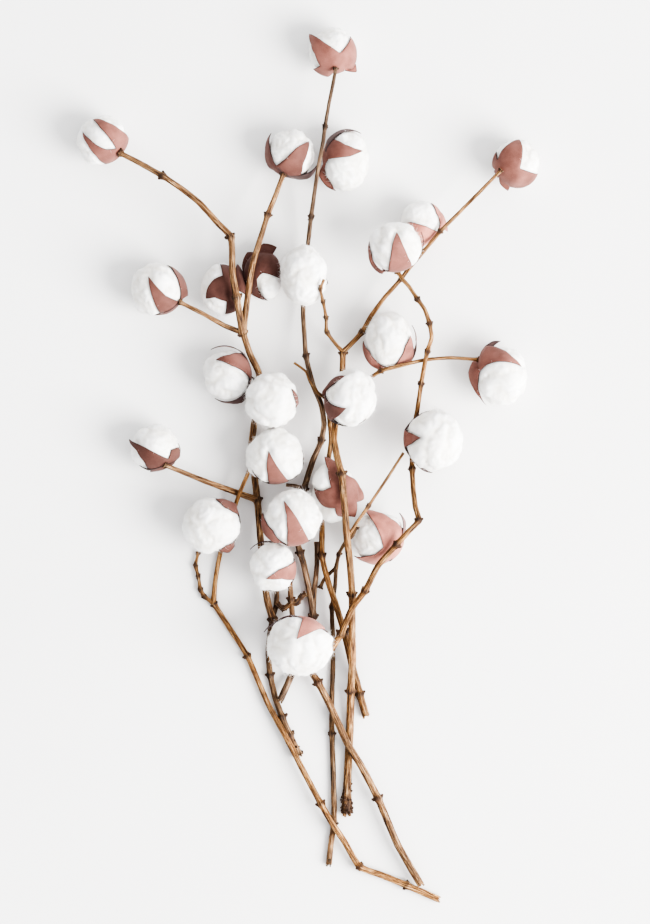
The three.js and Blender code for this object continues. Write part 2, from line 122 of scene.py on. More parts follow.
# %% Table of stems
STEMS = {
    "main": [
        (2.95, 2.6, [
            (421, 886, 8), (398, 846, 8.5), (378, 799, 9.5, 1), (362, 768, 10.2),
            (348, 745, 10.4), (331, 708, 10.4), (318, 683, 10.6, 1), (298, 652, 10.8),
            (273, 620, 10.2, 1), (267, 600, 9.5), (262, 560, 7.5), (258, 510, 6),
            (257, 500, 6.5, 1), (254, 473, 6.5), (251, 450, 6.5), (253, 430, 7),
            (258, 400, 8.5), (259, 374, 12), (250, 354, 17.5), (243, 333, 24, 1)]),
        (2.1, 1.6, [(243, 333, 24), (225, 326, 25), (205, 315, 26.5), "08"]),
        (2.9, 2.1, [
            (243, 333, 24), (240, 316, 32), (237, 298, 38.4, 1), (233, 275, 39.2),
            (231, 238, 38.5, 1), (219, 225, 38), (200, 204, 36.5), (181, 189, 34.5),
            (163, 177, 33, 1), (142, 165, 31), "02"]),
        (2.7, 1.9, [
            (243, 333, 24), (246, 312, 31), (249, 290, 36), (253, 265, 37.2),
            (262, 235, 36), (268, 216, 34, 1), (275, 198, 31), "03"]),
        (2.6, 1.8, [(257, 500, 6.5), (240, 494, 11), (205, 481, 22), "19"]),
    ],
    "lower_left": [
        (2.7, 2.1, [
            (439, 901, 3.2), (407, 887, 4.1, 1), (384, 877.5, 4.5), (360, 868, 6, 1),
            (344, 842, 8), (332, 824, 9.6), (321, 805, 9.2, 1), (304, 773, 8.6),
            (288, 742, 7.5), (268, 705, 5), (247, 657, 3.5, 1), (230, 630, 3),
            (213, 604, 3, 1)]),
        (1.5, 1.2, [
            (213, 604, 3), (204, 597, 3, 1), (200, 590, 3.1, 1), (198, 577, 3.2, 1),
            (195, 566, 3, 1), (198, 552, 3.2, 1)]),
        (2, 1.5, [
            (213, 604, 3), (215, 580, 3.2), (220, 553, 3.5), (228, 528, 5.5), (234, 509, 11),
            (240, 492, 17.6), (246, 478, 18.8), (249.5, 469, 18.8)]),
    ],
    "tall": [
        (2.8, 1.4, [
            (280, 701, 8.6), (293, 672, 4.4), (304, 643, 3.4), (313, 617, 4.5, 1),
            (309, 590, 6), (303, 562, 7), (300, 553, 7.5, 1), (297, 540, 8),
            (299, 515, 8.5), (304, 489, 11.5, 1), (313, 460, 17), (321.5, 440, 21, 1),
            (324, 424, 21), (321, 404, 22.5), (313, 385, 22.5), (306, 356, 20, 1),
            (304, 330, 15), (303, 312, 10.5), (304, 290, 8.8), (306, 262, 9), (308, 243, 12.5),
            (311, 217, 19, 1), (315, 190, 25.5), (319, 165, 30.8), (323, 143, 32.2),
            (325, 128, 32.4, 1), (329, 105, 33.2), (333, 85, 33), "01"]),
        (2.1, 1.9, [(313, 617, 4.5), (314.5, 590, 5), (317, 565, 5.2), (316.5, 542, 5.2)]),
        (1.6, 1.3, [(304, 489, 11.5), (295, 486, 12.6), (286, 485, 13)]),
    ],
    "centre": [
        (3.2, 2.5, [
            (347, 815, 3.9), (347, 795, 3.5), (350, 730, 3.6), (351, 692, 8.5, 1),
            (352.5, 660, 14), (352, 625, 18.5), (352, 594, 24.5, 1), (350, 565, 31.5),
            (347, 538, 38.5), (344, 500, 43.4), (341.5, 474, 43.6, 1), (337, 457, 40.5),
            (334, 440, 35.5), (335, 427, 29), (338, 405, 18.5), (342, 380, 13.8),
            (343, 352, 13, 1)]),
        (2, 1.3, [
            (343, 352, 13), (362, 332, 14, 1), (371, 316, 15.5), (385, 297, 17.5),
            (401, 279, 20, 1), (410, 267, 23), (424, 251, 27), (440, 232, 29, 1),
            (460, 212, 30.5), (482, 190, 32.8), "05"]),
        (1.5, 1.1, [
            (343, 352, 13), (335, 343, 16), (327, 332, 20, 1), (326, 318, 28, 1),
            (323, 302, 39, 1), (320.5, 290, 48, 1), (324, 281, 50)]),
        (1.6, 1.4, [
            (338, 405, 18.5), (352, 391, 18.2), (367, 380, 21.5), (381, 371, 26.5, 1),
            (390, 368.5, 29.4), (400, 366, 29.4), (425, 360, 26.5), (450, 358, 25), "18"]),
        (1.3, 1.1, [
            (347, 538, 38.5), (356, 523, 40), (368, 506, 40.5, 1), (387, 478, 37.5),
            (403, 453, 31)]),
    ],
    "right": [
        (2.75, 1.5, [
            (321, 665, 9), (334, 645, 14), (341, 634, 17.5, 1), (352, 608, 29),
            (365, 590, 33.5, 1), (378, 565, 39.5), (396, 544, 43.6, 1), (408, 531, 43.5),
            (418, 520, 41, 1), (415, 507, 37.5), (413, 490, 32), (412, 469, 25, 1),
            (412, 450, 19), (413, 433, 16.3), (417, 412, 18), (421, 384, 25, 1),
            (425, 361, 31.5), (427, 352, 32.5, 1), (431, 338, 34.5), (429, 324, 36, 1),
            (424, 310, 37.5), (417, 300, 38.2, 1), (409, 288, 38.6), (402, 280, 38.2), "07"]),
    ],
    "inner": [
        (3, 1.8, [
            (366, 717, 3.2), (360, 695, 4, 1), (352, 665, 6.2), (344, 632, 9.6, 1),
            (336, 605, 12.6), (327, 578, 13), (322, 556, 11.5, 1), (322, 530, 8.5),
            (322, 512, 6), (325, 485, 4.4), (329, 457, 8), (331, 440, 12.5), (330, 425, 18.5)]),
        (1.7, 0.9, [
            (330, 425, 18.5), (328.5, 412, 24), (327, 400, 25.6, 1), (318, 393, 27.6),
            (310, 382, 28.5), (306, 372, 28.5), (300, 367, 28.8), (294, 363, 29.2)]),
    ],
    "knobby": [
        (2.4, 1.7, [
            (329, 866, 2.7), (331, 845, 2.7), (334, 825, 3.2, 1), (334, 800, 2.6),
            (333, 765, 2.6), (332, 735, 3, 1), (332, 700, 2.6), (333, 670, 2.8),
            (333, 640, 3.4), (332, 608, 6, 1), (335, 587, 9.5), (336, 568, 14)]),
        (1.5, 1.3, [
            (336, 568, 14), (339, 554, 21, 1), (346, 541, 30.5), (352, 536, 32.8),
            (357, 526, 34.5, 1)]),
        (1.4, 1.3, [(336, 568, 14), (330.5, 573, 9), (324, 580, 7.4), (320, 589, 7, 1)]),
    ],
    "back": [
        (2.7, 1.9, [
            (299, 757, 2.8, 1), (289.5, 736, 2.8, 1), (282, 718, 3.4, 1), (275.5, 700, 2.8),
            (270, 676, 3.1, 1), (268, 650, 2.5), (271, 625, 2.3), (276, 605, 2.2),
            (277, 585, 2.2)]),
    ],
    "stub": [
        (2.4, 2, [(293, 626, 8.2), (291, 600, 8.4, 1), (290, 584, 11), (292, 573, 13.5)]),
        (1.9, 1.5, [(291, 604, 8.4), (283, 609, 7.8, 1), (279, 606, 7.4, 1), (275.5, 603, 7)]),
        (1.8, 1.5, [(291, 604, 8.4), (297, 603, 8.6, 1), (301, 597, 8.7, 1), (306, 594, 8.8, 1)]),
    ],
}
print(len(STEMS), "stems with", sum(len(limbs) for limbs in STEMS.values()), "limbs")

# %% [markdown]
# ## A smooth line through the places
# A twig bends gently from one leaf node to the next. A centripetal Catmull-Rom curve
# does the same: it passes through every place on its route and never loops between
# two that are close together. The line is sampled every millimetre or so, which is
# fine enough for the bark to be carved on it later.

# %% Smooth line
SAMPLE_STEP = 0.95 * MM
STIFFNESS = 0.62  # 1 bends evenly all along the twig, less bends more at the places
SEAT_GAP = 0.9  # millimetres from the middle of a husk to the end of its twig


def seat(name):
    """The point at the back of a boll's husk that its twig is glued to."""
    centre, axes = axes_of(name)
    return centre - axes[2] * (BOLLS[name][3] / 2 * SQUASH + SEAT_GAP) * MM


def smooth_line(stops):
    """Points every sample step along the curve, and the length at each of the stops."""
    stops = np.array(stops)
    ends = [2 * stops[0] - stops[1]], [2 * stops[-1] - stops[-2]]
    guides = np.concatenate([ends[0], stops, ends[1]])
    points, at_stop = [], []
    for first in range(len(stops) - 1):
        before, start, end, after = guides[first:first + 4]
        steps = (before, start), (start, end), (end, after)
        first_gap, gap, last_gap = (math.sqrt(np.linalg.norm(b - a)) for a, b in steps)
        middle = (end - start) / gap
        leave = (start - before) / first_gap - (end - before) / (first_gap + gap) + middle
        arrive = middle - (after - start) / (gap + last_gap) + (after - end) / last_gap
        leave, arrive = leave * gap * STIFFNESS, arrive * gap * STIFFNESS
        t = np.linspace(0, 1, 40, endpoint=False)[:, None]
        at_stop.append(len(points))
        points.extend(
            start + leave * t + (3 * (end - start) - 2 * leave - arrive) * t**2
            + (2 * (start - end) + leave + arrive) * t**3
        )
    at_stop.append(len(points))
    points = np.array(points + [stops[-1]])
    lengths = np.concatenate([[0], np.cumsum(np.linalg.norm(np.diff(points, axis=0), axis=1))])
    count = max(4, round(lengths[-1] / SAMPLE_STEP))
    even = np.linspace(0, lengths[-1], count + 1)
    line = np.column_stack([np.interp(even, lengths, points[:, k]) for k in range(3)])
    return line, even, lengths[at_stop]


# %% [markdown]
# ## From routes to wires
# Geometry Nodes will sweep a ring along each line, so the lines go in as a wire: a mesh
# of edges only. What the sweep has to know travels with every point as an attribute:
# how thick the twig is there, how near it is to a leaf node, how far along it is, and
# how weathered and how pale its bark is. Twigs taper, swell at a node and flare where a
# branch grows out of a thicker limb. At each node a loose point on either side marks a
# bud, and a few more mark crumbs of dry leaf stalk, there and on the torn feet.

# %% Wires with their attributes
KNOB_SPREAD = 2.1 * MM
KNOB_SWELL = 0.4
CRUMBS_AT_NODE = 9
NODE_CRUMBS = (0.3, 0.65)  # sizes in millimetres
TORN_FEET = {"centre": (90, 20 * MM), "back": (20, 5 * MM)}  # crumbs, and how far up it is torn
TORN_CRUMBS = (0.5, 1.3)
TORN_MIDDLE, TORN_SPREAD = 8, 9  # where on a torn foot the crumbs sit, in samples
TORN_BROWN = 0.75
FLARE_REACH, FLARE_SWELL = 3.2 * MM, 0.35
TIP_REACH, TIP_SWELL = 2 * MM, 0.12
WEATHER = {"main": 0.35, "tall": 0.75, "knobby": 0.35, "centre": 0.15, "stub": 0.4, "back": 0.45}
BROWN_REACH = 32 * MM
DEPTH_OF_BROWN = {  # how pale the bark is at the foot of a stem, and farther up
    "main": (1.0, 1.0), "lower_left": (1.2, 1.05), "tall": (0.8, 0.85),
    "centre": (0.75, 1.0), "right": (0.9, 0.9), "inner": (0.8, 0.8),
    "knobby": (1.5, 0.55), "back": (0.9, 0.7), "stub": (0.75, 0.75),
}


def beside(line, thick, here, turn, outwards):
    """A point beside the line, the direction out to it and the direction along."""
    here = min(max(here, 1), len(line) - 2)
    ahead = line[here + 1] - line[here - 1]
    ahead = ahead / np.linalg.norm(ahead)
    level = np.cross(ahead, [0, 0, 1])
    level /= np.linalg.norm(level) + 1e-9
    out = level * math.cos(turn) + np.cross(level, ahead) * math.sin(turn)
    return line[here] + out * thick[here] * outwards, out, ahead


def crumbs(line, thick, middle, spread, count, sizes, chance):
    """Loose points for crumbs of bark within some samples of a place on the line."""
    made = []
    for _ in range(count):
        here = int(np.clip(round(chance.normal(middle, spread)), 1, len(line) - 2))
        turn = chance.uniform(0, 2 * math.pi)
        spot, out, ahead = beside(line, thick, here, turn, chance.uniform(0.85, 1.05))
        lean = out + ahead * chance.uniform(-1, 1)
        made.append((spot, lean / np.linalg.norm(lean), chance.uniform(*sizes) * MM))
    return made


def twig_wire(name, limbs, chance):
    """Points, edges and attributes of one stem, with two bud points at each node."""
    points, edges, rows, buds = [], [], [], []
    for number, (start_radius, end_radius, route) in enumerate(limbs):
        stops = [seat(stop) if isinstance(stop, str) else place(*stop[:3]) for stop in route]
        line, lengths, at_stops = smooth_line(stops)
        knots = [at for at, stop in zip(at_stops, route) if len(stop) == 4]
        share = lengths / lengths[-1]
        thick = (start_radius + (end_radius - start_radius) * share) * MM
        knob = np.zeros(len(line))
        for at in knots:
            knob = np.maximum(knob, np.exp(-((lengths - at) / KNOB_SPREAD) ** 2))
        if isinstance(route[-1], str):
            knob = np.maximum(knob, np.exp(-((lengths[-1] - lengths) / KNOB_SPREAD) ** 2))
            knots.append(lengths[-1])
        torn_off = name in TORN_FEET and not number
        if torn_off:
            knob = np.maximum(knob, TORN_BROWN * np.exp(-((lengths / TORN_FEET[name][1]) ** 3)))
        flare = np.exp(-lengths / FLARE_REACH) * FLARE_SWELL if number else 0
        tip = np.exp(-((lengths[-1] - lengths) / TIP_REACH) ** 2) * TIP_SWELL
        thick = thick * (1 + KNOB_SWELL * knob + flare + tip)
        first = len(points)
        points.extend(line)
        edges.extend((first + k, first + k + 1) for k in range(len(line) - 1))
        along = lengths + chance.uniform(0, 1)
        weather = np.full(len(line), WEATHER.get(name, 0.0))
        foot, upper = DEPTH_OF_BROWN[name]
        pale = upper + (0 if number else foot - upper) * np.exp(-lengths / BROWN_REACH)
        rows.extend(zip(thick, knob, along, weather, pale))
        for at in knots:
            here = min(int(np.searchsorted(lengths, at)), len(line) - 2)
            turn = chance.uniform(-0.6, 0.6)
            for side in (0, math.pi):
                spot, out, ahead = beside(line, thick, here, turn + side, 0.82)
                lean = out + ahead * chance.uniform(0.3, 1.3)
                size = thick[here] * chance.uniform(0.3, 0.52)
                buds.append((spot, lean / np.linalg.norm(lean), size))
            buds += crumbs(line, thick, here, 1.2, CRUMBS_AT_NODE, NODE_CRUMBS, chance)
        if torn_off:
            count = TORN_FEET[name][0]
            buds += crumbs(line, thick, TORN_MIDDLE, TORN_SPREAD, count, TORN_CRUMBS, chance)
    return points, edges, rows, buds


def keep_values(mesh, title, values, kind="FLOAT"):
    """Stores one value for each point of a mesh as an attribute."""
    field = "vector" if kind == "FLOAT_VECTOR" else "value"
    made = mesh.attributes.new(title, kind, "POINT")
    made.data.foreach_set(field, np.array(values, dtype=float).ravel())


def add_piece(name, data):
    """A new object in the scene."""
    made = bpy.data.objects.new(name, data)
    bpy.context.scene.collection.objects.link(made)
    return made


def wire_object(name, points, edges, rows, buds):
    """The wire as a Blender mesh whose points carry the attributes by name."""
    mesh = bpy.data.meshes.new(name)
    mesh.from_pydata(list(points) + [bud[0] for bud in buds], edges, [])
    empty = [(0.0, 0.0, 0.0, 0.0, 1.0)] * len(buds)
    columns = np.array(list(rows) + empty)
    for column, title in enumerate(("thick", "knob", "along", "weather", "pale")):
        keep_values(mesh, title, columns[:, column])
    keep_values(mesh, "bud_size", [0.0] * len(points) + [bud[2] for bud in buds])
    lean = [(0.0, 0.0, 1.0)] * len(points) + [tuple(bud[1]) for bud in buds]
    keep_values(mesh, "lean", lean, "FLOAT_VECTOR")
    return add_piece(name, mesh)


# %% [markdown]
# ## Small helpers for node trees
# Shader groups and Geometry Nodes trees are built the same way: add a node, set some
# of its sockets, and join it to others. A few short helpers keep the trees readable.

# %% Node helpers
def node(tree, kind, inputs=None, **settings):
    """A new node with its settings and inputs; an input may be a value or a socket."""
    made = tree.nodes.new(kind)
    for title, value in settings.items():
        setattr(made, title, value)
    for socket, value in (inputs or {}).items():
        target = made.inputs[socket]
        if isinstance(value, bpy.types.NodeSocket):
            tree.links.new(value, target)
        else:
            target.default_value = value
    return made


def math_node(tree, operation, *values):
    """One sum: a Math node whose inputs are numbers or sockets."""
    return node(tree, "ShaderNodeMath", dict(enumerate(values)), operation=operation).outputs[0]


def joined(tree, x, y, z):
    """Three numbers or sockets as one place."""
    return node(tree, "ShaderNodeCombineXYZ", {0: x, 1: y, 2: z}).outputs[0]


def stretched(tree, around, along, width, length):
    """Where to read a pattern on a twig, so that it is drawn out along the twig."""
    along = math_node(tree, "DIVIDE", along, length)
    return joined(tree, *(math_node(tree, "MULTIPLY", part, width) for part in around), along)


def noise_at(tree, spot, scale=1.0, detail=2.0, **settings):
    values = {"Vector": spot, "Scale": scale, "Detail": detail, **settings}
    return node(tree, "ShaderNodeTexNoise", values).outputs[0]


def new_group(name, kind, inputs, outputs):
    """A node group with named sockets, and its group input and output nodes."""
    tree = bpy.data.node_groups.new(name, kind)
    for title, (socket, value) in inputs.items():
        made = tree.interface.new_socket(title, in_out="INPUT", socket_type=socket)
        if value is not None:
            made.default_value = value
    for title, socket in outputs.items():
        tree.interface.new_socket(title, in_out="OUTPUT", socket_type=socket)
    return tree, tree.nodes.new("NodeGroupInput"), tree.nodes.new("NodeGroupOutput")


def named(tree, title, data_type="FLOAT"):
    """Reads an attribute by its name inside a Geometry Nodes tree."""
    kind = "GeometryNodeInputNamedAttribute"
    return node(tree, kind, {"Name": title}, data_type=data_type).outputs[0]


def stored(tree, geometry, title, value):
    """Keeps a place on every point under a name."""
    values = {"Geometry": geometry, "Name": title, "Value": value}
    kind = "GeometryNodeStoreNamedAttribute"
    return node(tree, kind, values, data_type="FLOAT_VECTOR").outputs[0]


def realized(tree, geometry):
    return node(tree, "GeometryNodeRealizeInstances", {"Geometry": geometry}).outputs[0]


def bake_nodes(piece, tree, settings):
    """Runs a tree on a piece and keeps the result as a plain mesh of the same name."""
    modifier = piece.modifiers.new("nodes", "NODES")
    modifier.node_group = tree
    for item in tree.interface.items_tree:
        if item.item_type == "SOCKET" and item.in_out == "INPUT" and item.name in settings:
            modifier[item.identifier] = settings[item.name]
    depsgraph = bpy.context.evaluated_depsgraph_get()
    result = bpy.data.meshes.new_from_object(
        piece.evaluated_get(depsgraph), preserve_all_data_layers=True, depsgraph=depsgraph
    )
    piece.modifiers.remove(modifier)
    result.name = piece.name
    piece.data = result
    return piece


def kept_above(tree, geometry, lowest):
    """Lifts the points that are lower than the given height up to it."""
    here = node(tree, "GeometryNodeInputPosition").outputs[0]
    spot = node(tree, "ShaderNodeSeparateXYZ", {0: here}).outputs
    raised = joined(tree, spot[0], spot[1], math_node(tree, "MAXIMUM", spot[2], lowest))
    values = {"Geometry": geometry, "Position": raised}
    return node(tree, "GeometryNodeSetPosition", values).outputs[0]


def triangles(piece):
    piece.data.calc_loop_triangles()
    return len(piece.data.loop_triangles)


# %% [markdown]
# ## The sweep that makes a twig
# A twig is one round section carried along a line, so Curve to Mesh fits it: the line
# gives the path and the radius, and a circle gives the section. Real bark isn't smooth:
# it has long shallow ridges. A noise that is stretched along the twig moves the surface
# in and out, a little more at the nodes, where it is rough. The buds are one small cone
# placed on the loose points, and every cut end gets its own pale wood.

# %% Twig sweep tree
def twig_tree():
    tree, given, result = new_group(
        "twig sweep", "GeometryNodeTree",
        {
            "Wire": ("NodeSocketGeometry", None),
            "Sides": ("NodeSocketInt", 14),
            "Ridge Depth": ("NodeSocketFloat", 0.0004),
            "Ridge Width": ("NodeSocketFloat", 1.6),
            "Ridge Length": ("NodeSocketFloat", 0.012),
            "Lowest": ("NodeSocketFloat", 0.0002),
            "Bark": ("NodeSocketMaterial", None),
            "Cut Wood": ("NodeSocketMaterial", None),
            "Bud": ("NodeSocketMaterial", None),
        },
        {"Twig": "NodeSocketGeometry"},
    )
    line = node(tree, "GeometryNodeMeshToCurve", {"Mesh": given.outputs["Wire"]})
    section = node(tree, "GeometryNodeCurvePrimitiveCircle", {"Resolution": given.outputs["Sides"]})
    section.inputs["Radius"].default_value = 1.0
    place_on_section = node(tree, "GeometryNodeInputPosition").outputs[0]
    sweep = node(tree, "GeometryNodeCurveToMesh", {
        "Curve": line.outputs["Curve"], "Scale": named(tree, "thick"), "Fill Caps": True,
        "Profile Curve": stored(tree, section.outputs["Curve"], "round", place_on_section),
    })
    section_place = named(tree, "round", "FLOAT_VECTOR")
    around = node(tree, "ShaderNodeSeparateXYZ", {0: section_place}).outputs[:2]
    spot = stretched(tree, around, named(tree, "along"), given.outputs["Ridge Width"],
                     given.outputs["Ridge Length"])
    ridges = noise_at(tree, spot, detail=4.0, Roughness=0.62)
    centred = math_node(tree, "SUBTRACT", ridges, 0.5)
    rough = math_node(tree, "MULTIPLY_ADD", named(tree, "knob"), 3.0, 1.0)
    depth = math_node(tree, "MULTIPLY", centred, rough)
    depth = math_node(tree, "MULTIPLY", depth, given.outputs["Ridge Depth"])
    depth = math_node(tree, "MULTIPLY", depth, 2.0)
    outward = node(tree, "ShaderNodeVectorMath", {
        0: node(tree, "GeometryNodeInputNormal").outputs[0], "Scale": depth,
    }, operation="SCALE")
    carved = node(tree, "GeometryNodeSetPosition", {
        "Geometry": sweep.outputs[0], "Offset": outward.outputs[0],
    })
    bark_place = joined(tree, *around, named(tree, "along"))
    mapped = stored(tree, carved.outputs[0], "bark", bark_place)
    corners = node(tree, "GeometryNodeInputMeshFaceNeighbors").outputs["Vertex Count"]
    is_cap = math_node(tree, "GREATER_THAN", corners, 4.5)
    smooth = node(tree, "GeometryNodeSetShadeSmooth", {
        "Geometry": mapped, "Shade Smooth": math_node(tree, "SUBTRACT", 1.0, is_cap),
    })
    has_bud = math_node(tree, "GREATER_THAN", named(tree, "bud_size"), 0.0)
    spots = node(tree, "GeometryNodeMeshToPoints", {
        "Mesh": given.outputs["Wire"], "Selection": has_bud,
    })
    cone = node(tree, "GeometryNodeMeshCone", {
        "Vertices": 6, "Side Segments": 2, "Radius Top": 0.45, "Radius Bottom": 1.0, "Depth": 1.3,
    })
    lean = named(tree, "lean", "FLOAT_VECTOR")
    turned = node(tree, "FunctionNodeAlignRotationToVector", {"Vector": lean}, axis="Z")
    buds = node(tree, "GeometryNodeInstanceOnPoints", {
        "Points": spots.outputs[0], "Instance": cone.outputs["Mesh"],
        "Rotation": turned.outputs[0], "Scale": named(tree, "bud_size"),
    })
    whole = node(tree, "GeometryNodeJoinGeometry")
    for part in (realized(tree, buds.outputs[0]), smooth.outputs[0]):
        tree.links.new(kept_above(tree, part, given.outputs["Lowest"]), whole.inputs[0])
    finished = realized(tree, whole.outputs[0])
    for chosen, title in ((True, "Bark"), (is_cap, "Cut Wood"), (has_bud, "Bud")):
        finished = node(tree, "GeometryNodeSetMaterial", {
            "Geometry": finished, "Selection": chosen, "Material": given.outputs[title],
        }).outputs[0]
    tree.links.new(finished, result.inputs["Twig"])
    return tree


TWIG_SWEEP = twig_tree()
print("twig sweep:", len(TWIG_SWEEP.nodes), "nodes")

# %% [markdown]
# ## The nine stems
# Each stem becomes one piece that stands for its solid in the frame. The materials are
# only named here; their finishes come later in the lesson. The centre stem was pulled
# up rather than cut, so the foot of it keeps a torn end: short splinters and root
# stubs fan out round it. The cut ends are frayed too, by fewer and finer splinters.

# %% Make the stems
BARK, CUT_WOOD, BUD = (
    bpy.data.materials.new(title) for title in ("twig_bark", "twig_wood", "bud_scales")
)
TORN_END = (347, 812, 4.0)
STEM_SEED = 7
FRAY_RADII, SPLINTER_RADII = (0.7, 0.3), (1.5, 0.7)


def frayed(route, radius, chance, count=5):
    """Thin limbs that lie along the cut end of a stem and stick out past it."""
    end, before = np.array(route[0][:3]), np.array(route[1][:3])
    back = (before - end) / np.linalg.norm(before - end)
    level = np.array([back[1], -back[0], 0.0])
    limbs = []
    for number in range(count):
        turn = 2 * math.pi * number / count + chance.uniform(-0.4, 0.4)
        around = level * math.cos(turn) + np.array([0, 0, 1.0]) * math.sin(turn)
        offset = around * radius / GRID * 0.7
        past = chance.uniform(0.5, 2.6)
        limbs.append((*FRAY_RADII, [tuple(end + back * 6 + offset), tuple(end + back + offset),
                                    tuple(end - back * past + offset * 1.25)]))
    return limbs


def splinters(chance, count=11):
    """Short thin limbs round the torn foot of the centre stem."""
    column, row, height = TORN_END
    limbs = []
    for number in range(count):
        turn = 2 * math.pi * number / count + chance.uniform(-0.3, 0.3)
        spread = chance.uniform(3.2, 5.2)
        away = chance.uniform(-2, 7)
        side, up = math.cos(turn) * spread, max(math.sin(turn) * 3.1, -2.4)
        middle = (column + side * 0.6, row - 3 + away * 0.4, height + up * 0.7)
        limbs.append((*SPLINTER_RADII, [(column, row - 9 - away, height), middle,
                                        (column + side, row + away, height + up)]))
    return limbs


stems = []
for name, limbs in STEMS.items():
    chance = np.random.default_rng(STEM_SEED + len(stems))
    torn = splinters(chance) if name == "centre" else frayed(limbs[0][2], limbs[0][0], chance)
    piece = wire_object("twig_" + name, *twig_wire(name, limbs + torn, chance))
    bake_nodes(piece, TWIG_SWEEP, {"Bark": BARK, "Cut Wood": CUT_WOOD, "Bud": BUD})
    stems.append(piece)
    print(piece.name, triangles(piece), "triangles")

# %% [markdown]
# ## The rim of a husk
# A husk is a small cup of card with pointed petals, five as a rule, that wrap the tuft.
# Its rim is one closed line that climbs to a petal's tip and drops to the cut between
# two petals. A petal that starts with CUT alone shares the cut that the last one ended in.
# The table gives, in order round the boll, the places on the grid that this line passes
# through, on the near side of the boll (1), on its far side (-1) or on its outline (0).
# A place outside the ball means the card stands off the cotton there. Petals that are
# hidden aren't listed: they get a regular shape, so every husk is whole from behind.

